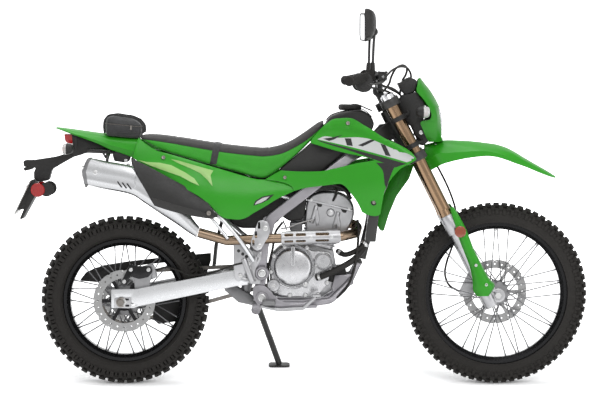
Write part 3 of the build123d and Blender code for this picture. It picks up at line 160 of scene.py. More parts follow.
def setUp(name, data, spot, aim):
    # A lamp or camera at its spot, looking at its aim.
    viewer = linked(name, data)
    viewer.location = spot
    viewer.rotation_euler = (aim - spot).to_track_quat("-Z", "Y").to_euler()
    return viewer


def buildLamps():
    for name, spot, aim, size, power in studio["lamps"]:
        light = bpy.data.lights.new(name, "AREA")
        light.shape = "DISK"
        light.size = size
        light.energy = power
        setUp(name, light, Vector(spot), Vector(aim))


def buildCamera():
    rise = radians(studio["elevation"])
    aim = Vector(studio["aim"])
    eye = aim + Vector((0, -cos(rise), sin(rise))) * studio["distance"]
    camera = bpy.data.cameras.new("camera")
    camera.lens = studio["lens"]
    camera.sensor_width = studio["sensor"]
    camera.clip_end = 60
    bpy.context.scene.camera = setUp("camera", camera, machine @ eye, machine @ aim)
    bpy.context.scene.view_settings.view_transform = "Standard"


buildWorld()
buildFloor()
buildLamps()
buildCamera()
print("stage: studio")

finishes = {}


def shade(colour, factor):
    return tuple(min(1.0, channel * factor) for channel in colour)


class Finish:
    # A small notebook for one material: its shader and the nodes that give it grain and wear.
    def __init__(self, name, colour, rough, metal=0.0, **extra):
        self.material = bpy.data.materials.new(name)
        self.material.use_nodes = True
        self.tree = self.material.node_tree
        self.shader = self.tree.nodes["Principled BSDF"].inputs
        self.colour = colour
        self.shader["Base Color"].default_value = (*colour, 1)
        self.shader["Roughness"].default_value = rough
        self.shader["Metallic"].default_value = metal
        for socket, value in extra.items():
            self.shader[socket.replace("_", " ")].default_value = value
        finishes[name] = self

    def node(self, kind, sockets=None, **settings):
        return added(self.tree, kind, sockets, **settings)

    def place(self, stretch=(1, 1, 1)):
        coords = self.node("ShaderNodeTexCoord")
        return self.node("ShaderNodeMapping", {"Vector": coords.outputs["Object"], "Scale": stretch}).outputs["Vector"]

    def noise(self, size, detail=3.0, stretch=(1, 1, 1)):
        # size is the grain's width in millimetres.
        return self.node("ShaderNodeTexNoise", {"Vector": self.place(stretch), "Scale": 1000 / size,
                                                "Detail": detail, "Roughness": 0.55}).outputs["Fac"]

    def cells(self, size):
        return self.node("ShaderNodeTexVoronoi", {"Vector": self.place(), "Scale": 1000 / size}).outputs["Distance"]

    def wave(self, direction, size, distortion=0.0):
        return self.node("ShaderNodeTexWave", {"Vector": self.place(), "Scale": size, "Distortion": distortion},
                         bands_direction=direction).outputs["Fac"]

    def span(self, value, low, high, fromLow=0.35, fromHigh=0.65):
        return self.node("ShaderNodeMapRange", {"Value": value, "From Min": fromLow, "From Max": fromHigh,
                                                "To Min": low, "To Max": high}).outputs["Result"]

    def multiply(self, first, second):
        return self.node("ShaderNodeMath", {0: first, 1: second}, operation="MULTIPLY").outputs[0]

    def tint(self, factor, other):
        # The base colour turns to another where the factor is 1.
        current = self.shader["Base Color"]
        before = current.links[0].from_socket if current.is_linked else (*self.colour, 1)
        made = self.node("ShaderNodeMix", {"Factor": factor, "A": before, "B": (*other, 1)}, data_type="RGBA")
        self.tree.links.new(made.outputs["Result"], current)

    def stain(self, size, detail, share, factor, span=(0.35, 0.65), stretch=(1, 1, 1)):
        # Patches of a paler or darker shade, up to a share of it where the noise is strongest.
        self.tint(self.span(self.noise(size, detail, stretch), 0, share, *span), shade(self.colour, factor))

    def roughen(self, factor, low, high):
        self.tree.links.new(self.span(factor, low, high), self.shader["Roughness"])

    def bump(self, height, strength, distance):
        # distance is the relief in millimetres.
        current = self.shader["Normal"]
        sockets = {"Strength": strength, "Distance": distance / 1000, "Height": height}
        if current.is_linked:
            sockets["Normal"] = current.links[0].from_socket
        self.tree.links.new(self.node("ShaderNodeBump", sockets).outputs["Normal"], current)


palette = {
    "green": (0.03, 0.33, 0.014), "paleGreen": (0.36, 0.6, 0.2), "black": (0.014, 0.0135, 0.013),
    "rubber": (0.017, 0.0155, 0.014), "steel": (0.56, 0.56, 0.56), "aluminium": (0.5, 0.505, 0.515),
    "cast": (0.42, 0.42, 0.43), "spar": (0.3, 0.29, 0.31), "gold": (0.235, 0.155, 0.095),
    "bronze": (0.21, 0.155, 0.11), "amber": (0.36, 0.065, 0.02), "red": (0.48, 0.012, 0.012)}


def glossPlastic(name, colour):
    # Injection-moulded coloured plastic: glossy, with a soft flow ripple and fine handling marks.
    made = Finish(name, colour, 0.32, Coat_Weight=0.05, Coat_Roughness=0.14, Specular_IOR_Level=0.25)
    made.stain(90, 2, 0.25, 1.12)
    made.stain(2.2, 3, 0.06, 0.8, (0.6, 0.8), (1, 6, 1))
    made.roughen(made.noise(12, 2), 0.28, 0.36)
    made.bump(made.noise(40, 1), 0.04, 0.6)
    made.bump(made.noise(0.9, 2), 0.05, 0.1)


def grainPlastic(name, colour, grain, rough=0.55):
    # Black moulded plastic with a leathery spark-eroded grain.
    made = Finish(name, colour, rough, Specular_IOR_Level=0.32)
    made.stain(22, 4, 0.5, 1.4)
    made.roughen(made.noise(5, 4), rough - 0.1, rough + 0.14)
    made.bump(made.cells(grain), 0.25, 0.18)


def castMetal(name, colour, rough, grain=1.3, metal=0.9):
    # Sand- or die-cast metal under satin paint: a fine pebble, with darker stains in its hollows.
    made = Finish(name, colour, rough, metal)
    made.stain(38, 4, 0.4, 0.66, (0.45, 0.7))
    made.stain(3, 3, 0.1, 1.3, (0.5, 0.75))
    made.roughen(made.noise(16, 2), rough - 0.03, rough + 0.06)
    made.bump(made.noise(grain, 2), 0.12, 0.08)


def brushedMetal(name, colour, stretch):
    # Machined or brushed metal: long fine lines along one direction.
    made = Finish(name, colour, 0.3, 1.0)
    made.stain(70, 2, 0.25, 0.82)
    lines = made.noise(1.1, 2, stretch)
    made.roughen(lines, 0.27, 0.35)
    made.bump(lines, 0.1, 0.02)


def smoothMetal(name, colour, rough, metal=1.0):
    made = Finish(name, colour, rough, metal)
    made.stain(30, 5, 0.35, 0.78)
    made.roughen(made.noise(6, 5), rough - 0.04, rough + 0.1)
    made.bump(made.noise(0.8, 2), 0.1, 0.02)


def drawnTube(name, colour, rough):
    # Hard-anodised or heat-tinted tube: smooth, with a slow shift of colour and a few fine scores.
    made = Finish(name, colour, rough, 1.0)
    made.stain(120, 1, 0.22, 0.72)
    made.roughen(made.noise(30, 1), rough - 0.02, rough + 0.03)
    made.bump(made.noise(3, 1), 0.04, 0.02)


def rubberFinish(name, colour, rough):
    made = Finish(name, colour, rough, Specular_IOR_Level=0.25)
    made.stain(45, 5, 0.5, 1.5)
    made.stain(4, 5, 0.3, 1.8, (0.5, 0.7))
    made.roughen(made.noise(3, 4), rough - 0.1, rough + 0.12)
    made.bump(made.noise(1.4, 4), 0.3, 0.14)


def lensFinish(name, colour, clear, ribs):
    made = Finish(name, colour, 0.08, Coat_Weight=0.4, Transmission_Weight=clear, IOR=1.49)
    made.bump(made.cells(ribs), 0.3, 0.5)
    made.stain(14, 2, 0.4, 1.3)


glossPlastic("greenPlastic", palette["green"])
# A darker copy of the green plastic: painted shade, worn by the headlight mask and by the left shroud's wing behind.
glossPlastic("maskPlastic", shade(palette["green"], 0.78))
glossPlastic("paleGraphic", (0.62, 0.63, 0.62))
# A paler green for painted highlight along the side panels' swells.
glossPlastic("paleGreen", palette["paleGreen"])
glossPlastic("plateWhite", (0.6, 0.6, 0.58))
grainPlastic("blackPlastic", palette["black"], 0.9)
grainPlastic("tankPlastic", shade(palette["black"], 1.1), 0.8, 0.42)
grainPlastic("shieldPlastic", shade(palette["black"], 0.9), 0.7, 0.42)
grainPlastic("bandPlastic", shade(palette["black"], 1.8), 0.7, 0.46)
grainPlastic("pipingVinyl", (0.018, 0.018, 0.017), 1.2, 0.5)
castMetal("castAlloy", shade(palette["cast"], 0.86), 0.33)
castMetal("caseAlloy", shade(palette["cast"], 0.62), 0.32, 1.7)
castMetal("coverAlloy", shade(palette["cast"], 0.98), 0.27, 1.8, 0.95)
castMetal("clampPaint", shade(palette["black"], 2.2), 0.42, 1.6, 0.3)
castMetal("darkCast", shade(palette["cast"], 0.42), 0.46)
castMetal("sparPaint", palette["spar"], 0.34, 2.4, 0.55)
castMetal("blackPaint", shade(palette["black"], 1.2), 0.38, 2.2, 0.2)
brushedMetal("swingAlloy", palette["aluminium"], (0.05, 1, 1))
brushedMetal("silencerMetal", shade(palette["aluminium"], 0.86), (0.12, 1, 1))
brushedMetal("discSteel", shade(palette["steel"], 0.52), (1, 1, 1))
smoothMetal("chrome", (0.72, 0.72, 0.74), 0.12)
smoothMetal("boltSteel", (0.5, 0.5, 0.5), 0.3)
smoothMetal("spokeSteel", (0.13, 0.13, 0.135), 0.34)
smoothMetal("chainSteel", (0.2, 0.185, 0.17), 0.34)
smoothMetal("rimBlack", (0.012, 0.012, 0.013), 0.24, 0.7)
smoothMetal("barBlack", (0.018, 0.018, 0.018), 0.34, 0.5)
smoothMetal("mirrorGlass", (0.86, 0.88, 0.9), 0.02)
smoothMetal("screenGlass", (0.16, 0.19, 0.17), 0.08, 0.2)
smoothMetal("screenInk", (0.01, 0.012, 0.01), 0.3, 0.0)
drawnTube("forkGold", palette["gold"], 0.2)
drawnTube("headerBronze", palette["bronze"], 0.26)
rubberFinish("tyreRubber", palette["rubber"], 0.72)
rubberFinish("gripRubber", shade(palette["rubber"], 0.7), 0.66)
rubberFinish("hoseRubber", shade(palette["rubber"], 0.7), 0.5)
lensFinish("amberLens", palette["amber"], 0.15, 5)
lensFinish("redLens", palette["red"], 0.1, 5)
lensFinish("clearLens", (0.85, 0.87, 0.88), 0.75, 9)
lensFinish("signalLens", (0.78, 0.78, 0.76), 0.35, 4)


def vinylFinish():
    # Seat cover: black vinyl above the piping, green below. The band attribute is the height over it in millimetres.
    made = Finish("seatVinyl", (0.02, 0.019, 0.018), 0.55, Sheen_Weight=0.12, Specular_IOR_Level=0.35)
    made.stain(30, 4, 0.5, 2)
    band = made.node("ShaderNodeAttribute", attribute_name="band")
    lower = made.span(band.outputs["Fac"], 1, 0, -0.4, 0.4)
    made.tint(lower, palette["green"])
    made.tint(made.multiply(lower, made.span(made.noise(34, 4), 0, 0.3)), shade(palette["green"], 0.8))
    made.roughen(made.noise(4, 4), 0.46, 0.66)
    made.bump(made.cells(1.8), 0.35, 0.22)


def webFinish():
    # Webbing: fine ribs across its length.
    made = Finish("strapWeb", (0.018, 0.018, 0.018), 0.75, Sheen_Weight=0.25)
    made.stain(8, 4, 0.5, 2.5)
    made.bump(made.wave("DIAGONAL", 330), 0.45, 0.25)


def wovenFinish():
    # Nylon pack cloth: a plain weave of fine yarns.
    made = Finish("bagCloth", (0.02, 0.02, 0.021), 0.8, Sheen_Weight=0.3)
    made.tint(made.span(made.noise(24, 4), 0, 0.6), (0.05, 0.05, 0.052))
    made.bump(made.multiply(made.wave("X", 260, 0.6), made.wave("Z", 260, 0.6)), 0.5, 0.3)
    made.bump(made.noise(18, 4), 0.35, 1.4)


vinylFinish()
webFinish()
wovenFinish()
print("stage: finishes", len(finishes))


def discard(*pieces):
    for piece in pieces:
        mesh = piece.data
        bpy.data.objects.remove(piece)
        if mesh.users == 0:
            bpy.data.meshes.remove(mesh)


@contextmanager
def meshWork(piece):
    # A piece's mesh is opened for editing and written back.
    work = bmesh.new()
    work.from_mesh(piece.data)
    yield work
    work.to_mesh(piece.data)
    work.free()


def modified(piece, kind, **settings):
    modifier = piece.modifiers.new(kind.lower(), kind)
    for key, value in settings.items():
        setattr(modifier, key, value)
    return piece


def baked(piece):
    # Modifiers become part of the mesh.
    if not piece.modifiers:
        return piece
    graph = bpy.context.evaluated_depsgraph_get()
    mesh = bpy.data.meshes.new_from_object(piece.evaluated_get(graph))
    old = piece.data
    piece.modifiers.clear()
    piece.data = mesh
    if old.users == 0:
        bpy.data.meshes.remove(old)
    return piece


def subdivided(piece, levels=1):
    return baked(modified(piece, "SUBSURF", levels=levels, render_levels=levels))


def bevelled(piece, width, segments=2, angle=50, **settings):
    return baked(modified(piece, "BEVEL", width=width, segments=segments, limit_method="ANGLE",
                          angle_limit=radians(angle), **{"use_clamp_overlap": True, **settings}))


def thickened(piece, wall, offset=-1):
    return baked(modified(piece, "SOLIDIFY", thickness=wall, offset=offset, use_even_offset=True))


def cleaned(piece, merge=0.01):
    with meshWork(piece) as work:
        bmesh.ops.remove_doubles(work, verts=work.verts, dist=merge)
        bmesh.ops.recalc_face_normals(work, faces=work.faces)
    return piece


def dressed(piece, *materials):
    piece.data.materials.clear()
    for material in materials:
        if material:
            piece.data.materials.append(finishes[material].material)
    return piece


def joined(name, pieces):
    # Several meshes become one piece and keep their own materials.
    keeper = pieces[0]
    if len(pieces) > 1:
        with bpy.context.temp_override(active_object=keeper, object=keeper, selected_objects=pieces,
                                       selected_editable_objects=pieces):
            bpy.ops.object.join()
    keeper.name = name
    keeper.data.name = name
    return keeper


def settled(piece, body, replaced=(), smooth=32):
    # A drawn piece goes to its place in the row frame, rides on its body and stands for CAD nodes.
    baked(piece)
    piece.data.transform(machine)
    for face in piece.data.polygons:
        face.use_smooth = True
    piece.data.set_sharp_from_angle(angle=radians(smooth))
    piece.data.update()
    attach(piece, body)
    if replaced:
        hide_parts(*replaced)
    return piece


def lathed(name, profile, origin, axis, steps, finish=None, closed=False):
    # profile is (radius, distance along the axis); a closed profile makes a ring.
    axis = Vector(axis).normalized()
    side = axis.orthogonal().normalized()
    other = axis.cross(side)
    points, faces = [], []
    for step in range(steps):
        turn = 2 * pi * step / steps
        out = side * cos(turn) + other * sin(turn)
        points += [Vector(origin) + axis * along + out * radius for radius, along in profile]
    count = len(profile)
    for step in range(steps):
        here, there = step * count, (step + 1) % steps * count
        for index in range(count if closed else count - 1):
            following = (index + 1) % count
            faces.append((here + index, there + index, there + following, here + following))
    return dressed(cleaned(newPiece(name, points, faces), 0.001), finish)


def standingUnit(name, profile, steps):
    return lathed(name, profile, (0, 0, 0), (0, 0, 1), steps)


def flowLine(points, steps=6):
    # Smooth route through given points.
    dense = []
    path = [Vector(point) for point in points]
    for index in range(len(path) - 1):
        before = path[index - 1] if index else path[0] * 2 - path[1]
        start, end = path[index], path[index + 1]
        after = path[index + 2] if index + 2 < len(path) else path[-1] * 2 - path[-2]
        for step in range(steps):
            t = step / steps
            dense.append(0.5 * (2 * start + (end - before) * t + (2 * before - 5 * start + 4 * end - after) * t * t
                                + (3 * start - before - 3 * end + after) * t ** 3))
    dense.append(path[-1])
    return dense


def flowRows(rows, steps):
    # More rows flow in between the given ones.
    return list(zip(*[flowLine(column, steps) for column in zip(*rows)]))


def swept(name, route, section, finish, closed=False, scales=None):
    # A section of (sideways, up) points follows a route without twisting.
    route = [Vector(point) for point in route]
    count, sides = len(route), len(section)
    points, faces = [], []
    normal = None
    for index, spot in enumerate(route):
        if closed:
            tangent = (route[(index + 1) % count] - route[index - 1]).normalized()
        else:
            tangent = (route[min(index + 1, count - 1)] - route[max(index - 1, 0)]).normalized()
        if normal is None:
            normal = Vector((0, 0, 1)) if abs(tangent.z) < 0.9 else Vector((0, 1, 0))
        normal = (normal - tangent * normal.dot(tangent)).normalized()
        side = tangent.cross(normal)
        grow = scales[index] if scales else 1
        points += [spot + side * a * grow + normal * b * grow for a, b in section]
    for index in range(count if closed else count - 1):
        here, there = index * sides, (index + 1) % count * sides
        for corner in range(sides):
            following = (corner + 1) % sides
            faces.append((here + corner, here + following, there + following, there + corner))
    if not closed:
        faces.append(tuple(range(sides))[::-1])
        faces.append(tuple(range((count - 1) * sides, count * sides)))
    return dressed(cleaned(newPiece(name, points, faces), 0.0005), finish)


def circle(radius, sides, other=None):
    # A ring of (sideways, up) points; another radius makes it an oval.
    return [(radius * cos(2 * pi * k / sides), (other or radius) * sin(2 * pi * k / sides)) for k in range(sides)]


def oblong(wide, tall):
    return [(-wide, -tall), (wide, -tall), (wide, tall), (-wide, tall)]


def tubing(name, points, radius, finish, sides=12, steps=6, scales=None):
    return swept(name, flowLine(points, steps), circle(radius, sides), finish, scales=scales)


def rounded(points, radius, steps=4):
    # Corners of a closed outline become arcs.
    result = []
    count = len(points)
    for index in range(count):
        corner = Vector(points[index])
        before = Vector(points[index - 1]) - corner
        after = Vector(points[(index + 1) % count]) - corner
        reach = min(radius, before.length * 0.45, after.length * 0.45)
        start, end = corner + before.normalized() * reach, corner + after.normalized() * reach
        for step in range(steps + 1):
            t = step / steps
            result.append(start * (1 - t) ** 2 + corner * 2 * t * (1 - t) + end * t * t)
    return result


def plate(name, outline, low, high, corner, edge, finish, segments=2, angle=50):
    # An outline of (x, z) points, with rounded corners, stands between two y values.
    outline = rounded(outline, corner)
    count = len(outline)
    points = [(x, y, z) for y in (low, high) for x, z in outline]
    faces = [tuple(range(count)), tuple(range(count, 2 * count))[::-1]]
    faces += [(k, k + count, (k + 1) % count + count, (k + 1) % count) for k in range(count)]
    piece = cleaned(newPiece(name, points, faces))
    if edge:
        bevelled(piece, edge, segments, angle)
    return dressed(piece, finish)


def block(name, centre, size, edge, finish, turn=None, segments=2):
    half = Vector(size) / 2
    corners = [Vector((sx * half.x, sy * half.y, sz * half.z)) for sx in (-1, 1) for sy in (-1, 1) for sz in (-1, 1)]
    if turn:
        corners = [turn @ corner for corner in corners]
    faces = [(0, 1, 3, 2), (4, 6, 7, 5), (0, 4, 5, 1), (2, 3, 7, 6), (0, 2, 6, 4), (1, 5, 7, 3)]
    piece = cleaned(newPiece(name, [Vector(centre) + corner for corner in corners], faces))
    return dressed(bevelled(piece, edge, segments, 35), finish)


def skin(name, rows, closedRows=False, capped=False):
    # A sheet of quads through rows of points.
    width = len(rows[0])
    points = [point for row in rows for point in row]
    faces = []
    for r in range(len(rows) - 1):
        for c in range(width if closedRows else width - 1):
            following = (c + 1) % width
            faces.append((r * width + c, r * width + following, (r + 1) * width + following, (r + 1) * width + c))
    if capped:
        faces += [tuple(range(width)), tuple(range(len(points) - width, len(points)))]
    return newPiece(name, points, faces)


def mirroredCopy(piece, name):
    other = linked(name, piece.data.copy())
    other.data.transform(Matrix.Scale(-1, 4, (0, 1, 0)))
    other.data.flip_normals()
    return other


def handed(point, hand):
    # A point of the left side (hand 1) or its twin on the right (hand -1).
    return Vector((point[0], point[1] * hand, point[2]))


def unitTree(name, settings, spread):
    # Instances of a unit stand on points, and spread() says which points and how each unit stands there.
    tree = bpy.data.node_groups.new(name, "GeometryNodeTree")
    sockets = {}
    for label, kind in (("Geometry", "Geometry"), ("Unit", "Object"), *settings, ("Finish", "Material")):
        made = tree.interface.new_socket(label, in_out="INPUT", socket_type="NodeSocket" + kind)
        sockets[label] = made.identifier
    tree.interface.new_socket("Geometry", in_out="OUTPUT", socket_type="NodeSocketGeometry")
    given = added(tree, "NodeGroupInput").outputs
    unit = added(tree, "GeometryNodeObjectInfo", {"Object": given["Unit"]})
    placed = added(tree, "GeometryNodeInstanceOnPoints", {"Instance": unit.outputs["Geometry"], **spread(tree, given)})
    real = added(tree, "GeometryNodeRealizeInstances", {0: placed.outputs[0]})
    coat = added(tree, "GeometryNodeSetMaterial", {"Geometry": real.outputs[0], "Material": given["Finish"]})
    added(tree, "NodeGroupOutput", {0: coat.outputs[0]})
    return tree, sockets


def ringSpread(tree, given):
    # Units stand round an axle: unit x points outwards, y along the axle.
    def math(operation, first, second=0.0):
        return added(tree, "ShaderNodeMath", {0: first, 1: second}, operation=operation).outputs[0]

    share = math("DIVIDE", added(tree, "GeometryNodeInputIndex").outputs[0], given["Count"])
    turn = math("ADD", math("MULTIPLY", share, 2 * pi), given["Phase"])
    place = added(tree, "ShaderNodeCombineXYZ", {"X": math("MULTIPLY", math("COSINE", turn), given["Radius"]),
                                                "Z": math("MULTIPLY", math("SINE", turn), given["Radius"])})
    points = added(tree, "GeometryNodePoints", {"Count": given["Count"], "Position": place.outputs[0]})
    facing = added(tree, "ShaderNodeCombineXYZ", {"Y": math("MULTIPLY", turn, -1.0)})
    return {"Points": points.outputs[0], "Rotation": facing.outputs[0]}


def spotSpread(tree, given):
    # Units stand at stored spots, each with its own stored turn and growth.
    def stored(name):
        node = added(tree, "GeometryNodeInputNamedAttribute", {"Name": name}, data_type="FLOAT_VECTOR")
        return node.outputs["Attribute"]

    return {"Points": given["Geometry"], "Rotation": stored("turn"), "Scale": stored("growth")}


ringOfUnits = unitTree("ringOfUnits", (("Count", "Int"), ("Radius", "Float"), ("Phase", "Float")), ringSpread)
unitsAtSpots = unitTree("unitsAtSpots", (), spotSpread)


def instanced(carrier, tree, unit, finish, **settings):
    group, sockets = tree
    modifier = carrier.modifiers.new("units", "NODES")
    modifier.node_group = group
    for label, value in {"Unit": unit, "Finish": finishes[finish].material, **settings}.items():
        modifier[sockets[label]] = value
    return baked(carrier)


def ringed(name, unit, count, radius, centre, phase, finish):
    carrier = instanced(newPiece(name, [(0, 0, 0)], []), ringOfUnits, unit, finish, Count=count,
                        Radius=float(radius), Phase=float(phase))
    carrier.data.transform(Matrix.Translation(Vector(centre)))
    return carrier


def spotted(name, unit, spots, finish="boltSteel"):
    # spots: (place, direction of the unit's z axis, growth) for each unit, in one go.
    carrier = newPiece(name, [spot[0] for spot in spots], [])
    stored = [carrier.data.attributes.new(key, "FLOAT_VECTOR", "POINT") for key in ("turn", "growth")]
    for index, (_, way, growth) in enumerate(spots):
        stored[0].data[index].vector = Vector(way).to_track_quat("Z", "Y").to_matrix().to_euler()
        stored[1].data[index].vector = (growth,) * 3 if isinstance(growth, (int, float)) else growth
    instanced(carrier, unitsAtSpots, unit, finish)
    for key in ("turn", "growth"):
        if key in carrier.data.attributes:
            carrier.data.attributes.remove(carrier.data.attributes[key])
    return carrier


def hexBolt():
    # Flanged hexagon head with a chamfer, standing on its z axis; 10 mm across the flats.
    points, faces = [], []
    for sides, rings in ((24, ((8.0, 0.0), (8.0, 1.4), (6.2, 2.0))), (6, ((5.9, 2.0), (5.9, 6.6), (5.2, 7.4)))):
        start = len(points)
        points += [(x, y, height) for radius, height in rings for x, y in circle(radius, sides)]
        for ring in (0, 1):
            for k in range(sides):
                a, b = start + ring * sides + k, start + ring * sides + (k + 1) % sides
                faces.append((a, b, b + sides, a + sides))
        faces.append(tuple(range(start + 2 * sides, start + 3 * sides)))
    return newPiece("boltUnit", points, faces)


# Round socket-head screw with a hexagon recess; 10 mm head.
capProfile = [(0, 0), (5.6, 0), (6, 0.5), (6, 3.4), (5.4, 4.4), (3.2, 4.6), (2.6, 4.2), (2.5, 1.6), (0, 1.4)]
boltUnit, capUnit = hexBolt(), standingUnit("capUnit", capProfile, 18)
print("stage: workshop")

# Tread blocks: how many stand round the tyre, and each one's height, length and width.
rearTread = {"knobs": 54, "height": 16, "long": 27, "wide": 28, "shoulder": (27, 50)}
frontTread = {"knobs": 68, "height": 13, "long": 22, "wide": 20, "shoulder": (22, 42)}


def carcass(name, axle, radius, width, bead, rimWidth, height):
    # Rubber casing below the knobs: crown arc, sidewall bulge, rim-protector ridge and bead.
    crown = wheel["crown"]
    centre = radius - crown
    under = crown - height
    half = [(centre + under * cos(radians(a)), under * sin(radians(a))) for a in (0, 12, 24, 36, 48, 58)]
    wall = width / 2 - 7
    flange = bead + 11
    half += [(centre + under * 0.30, wall - 1.5), (centre - 4, wall + 1), (centre - 14, wall + 0.6),
             (centre - 16, wall + 1.8), (centre - 19, wall + 1.8), (centre - 21, wall), (flange + 22, wall - 5),
             (flange + 15, wall - 8), (flange + 13, wall - 7), (flange + 10, wall - 8.4), (flange + 4, wall - 13),
             (flange + 1, rimWidth / 2 - 3), (flange - 2, rimWidth / 2 - 6), (bead + 1, rimWidth / 2 - 6.4)]
    loop = half + [(r, -y) for r, y in reversed(half) if y > 0]
    return lathed(name, loop, axle, (0, 1, 0), 144, "tyreRubber", closed=True)


def knobUnit(radius, height, along, wide, angle, bite):
    # A tread block on the crown arc at an angle from its middle; narrower at its top, with chamfered lips.
    crown = wheel["crown"]
    lean = radians(angle)
    points = []
    for level, share in ((-5.0, 1.06), (height * 0.45, 0.98), (height - 1.6, bite + 0.05), (height, bite - 0.05)):
        points += [(level, y, z) for y, z in oblong(wide / 2 * share, along / 2 * share)]
    faces = []
    for ring in range(3):
        for k in range(4):
            a, b = ring * 4 + k, ring * 4 + (k + 1) % 4
            faces.append((a, b, b + 4, a + 4))
    faces += [(0, 1, 2, 3), (12, 15, 14, 13)]
    piece = newPiece("knob", points, faces)
    base = radius - crown + (crown - height) * cos(lean)
    tilt = Matrix.Rotation(lean, 4, "Z")
    piece.data.transform(Matrix.Translation((base - radius, (crown - height) * sin(lean), 0)) @ tilt)
    return cleaned(piece)


def sideKnob(radius, width, drop, tall, along, thick, side):
    # A lug on the shoulder, which the sidewall carries.
    wall = width / 2 - 7
    top = radius - drop
    low = top - tall
    points = []
    for x, y, share in ((low - 3, wall - 5, 1), (low, wall + thick, 0.8), (top - 5, wall + thick - 0.5, 0.84),
                        (top + 3, wall - 4, 1), (low, wall - 9, 1)):
        points += [(x - radius, y * side, -along / 2 * share), (x - radius, y * side, along / 2 * share)]
    faces = [(0, 1, 3, 2), (2, 3, 5, 4), (4, 5, 7, 6), (0, 2, 4, 6, 8), (1, 9, 7, 5, 3), (0, 8, 9, 1), (6, 7, 9, 8)]
    return cleaned(newPiece("lug", points, faces))


def knobbyTyre(name, axle, radius, width, bead, rimWidth, tread):
    count, tall, long, wide = tread["knobs"], tread["height"], tread["long"], tread["wide"]
    inner, outer = tread["shoulder"]
    parts = [carcass(name + "Casing", axle, radius, width, bead, rimWidth, tall)]
    # angle from the middle, length, width, phase, narrowing
    rows = [(0, long, wide, 0, 0.88)]
    rows += [(side * inner, long * 0.96, wide * 0.72, 0, 0.88) for side in (1, -1)]
    rows += [(side * outer, long * 0.84, wide * 0.72, 0.5, 0.86) for side in (1, -1)]
    units = [(knobUnit(radius, tall, along, across, angle, bite), "knobs", phase)
             for angle, along, across, phase, bite in rows]
    for side in (1, -1):
        units.append((sideKnob(radius, width, tall + 9, 22, long * 0.62, 2.6, side), "lugs", 0))
        units.append((sideKnob(radius, width, tall + 16, 12, long * 0.4, 1.2, side), "lugs", 0.5))
    for unit, label, phase in units:
        parts.append(ringed(label, unit, count, radius, axle, phase * 2 * pi / count, "tyreRubber"))
        discard(unit)
    return joined(name, parts)


settled(knobbyTyre("rearTyre", rearAxle, wheel["rearRadius"], wheel["rearWidth"], wheel["rearBead"], 66, rearTread),
        "rear_wheel", ["rear_tyre"])
settled(knobbyTyre("frontTyre", frontAxle, wheel["frontRadius"], wheel["frontWidth"], wheel["frontBead"], 50,
                   frontTread), "front_wheel", ["front_tyre"])
print("stage: tyres")

lacing = {"rear": {"hole": 59.9, "flange": 32.5, "thick": 2.6}, "front": {"hole": 47.9, "flange": 31.5, "thick": 2.3},
          "reach": 34, "rimDepth": 17, "elbowTurn": 0.09}


def spokeRuns(axle, hole, flange, rimInner):
    # Crossed lacing, with the same rule as the hub's drilled flanges.
    perSide = wheel["spokes"] // 2
    runs = []
    for side in (1, -1):
        for index in range(perSide):
            lean = 1 if index % 2 else -1
            hubTurn = radians(360 * (2 * (index // 2) + 0.5 + 0.25 * side) / perSide)
            rimTurn = hubTurn + lean * radians(lacing["reach"])
            footTurn = hubTurn + lean * lacing["elbowTurn"]
            foot = axle + Vector((hole * cos(footTurn), side * (flange + 5 * lean), hole * sin(footTurn)))
            head = axle + Vector(((rimInner + 1) * cos(rimTurn), side * 7, (rimInner + 1) * sin(rimTurn)))
            runs.append((foot, head, lean * side))
    return runs


def lacedSpokes(name, axle, bead, hole, flange, thick):
    # One metre-long shank, thinned in its middle, is scaled to each run; nipples and elbows end it.
    shank = standingUnit("shankUnit", [(0, 0), (thick, 0), (thick, 0.12), (thick * 0.86, 0.16), (thick * 0.86, 0.84),
                                       (thick, 0.88), (thick, 1), (0, 1)], 8)
    nipple = standingUnit("nippleUnit", [(0, -9), (3.0, -9), (3.4, -8), (3.4, 1), (4.6, 1.4), (4.6, 3.4), (3.6, 5),
                                         (0, 5)], 8)
    elbow = standingUnit("elbowUnit", [(0, -3.4), (thick * 1.9, -3.0), (thick * 1.9, -1.6), (thick, -0.8),
                                       (thick, 4.2), (0, 4.2)], 10)
    runs = spokeRuns(axle, hole, flange, bead - lacing["rimDepth"])
    shanks = [(foot, head - foot, (1, 1, (head - foot).length)) for foot, head, _ in runs]
    parts = [spotted("shanks", shank, shanks, "spokeSteel"),
             spotted("nipples", nipple, [(head, head - foot, 1) for foot, head, _ in runs], "spokeSteel"),
             spotted("elbows", elbow, [(foot, (0, -way, 0), 1) for foot, _, way in runs], "spokeSteel")]
    discard(shank, nipple, elbow)
    return joined(name, parts)


settled(lacedSpokes("rearSpokes", rearAxle, wheel["rearBead"], **lacing["rear"]), "rear_wheel",
        ["rear_spokes"])
settled(lacedSpokes("frontSpokes", frontAxle, wheel["frontBead"], **lacing["front"]), "front_wheel",
        ["front_spokes"])
print("stage: spokes")


def flowSheet(name, rows, sharp=(), along=4, across=4):
    # The sheet flows smoothly along its rows' order and across them, with a fold at each sharp column.
    marks = [0, *sharp, len(rows[0]) - 1]
    fine = []
    for row in rows:
        line = []
        for start, end in zip(marks, marks[1:]):
            line += flowLine(row[start:end + 1], across)[:-1]
        fine.append(line + [Vector(row[-1])])
    return skin(name, flowRows(fine, along))


def facing(piece, way):
    # The sheet's faces look the given way.
    total = Vector()
    for face in piece.data.polygons:
        total += face.normal * face.area
    if total.dot(Vector(way)) < 0:
        piece.data.flip_normals()
    return piece


def acrossRow(half):
    # A row from the right edge over the middle to the left edge.
    return [Vector(point) for point in half] + [Vector((x, -y, z)) for x, y, z in reversed(half[:-1])]


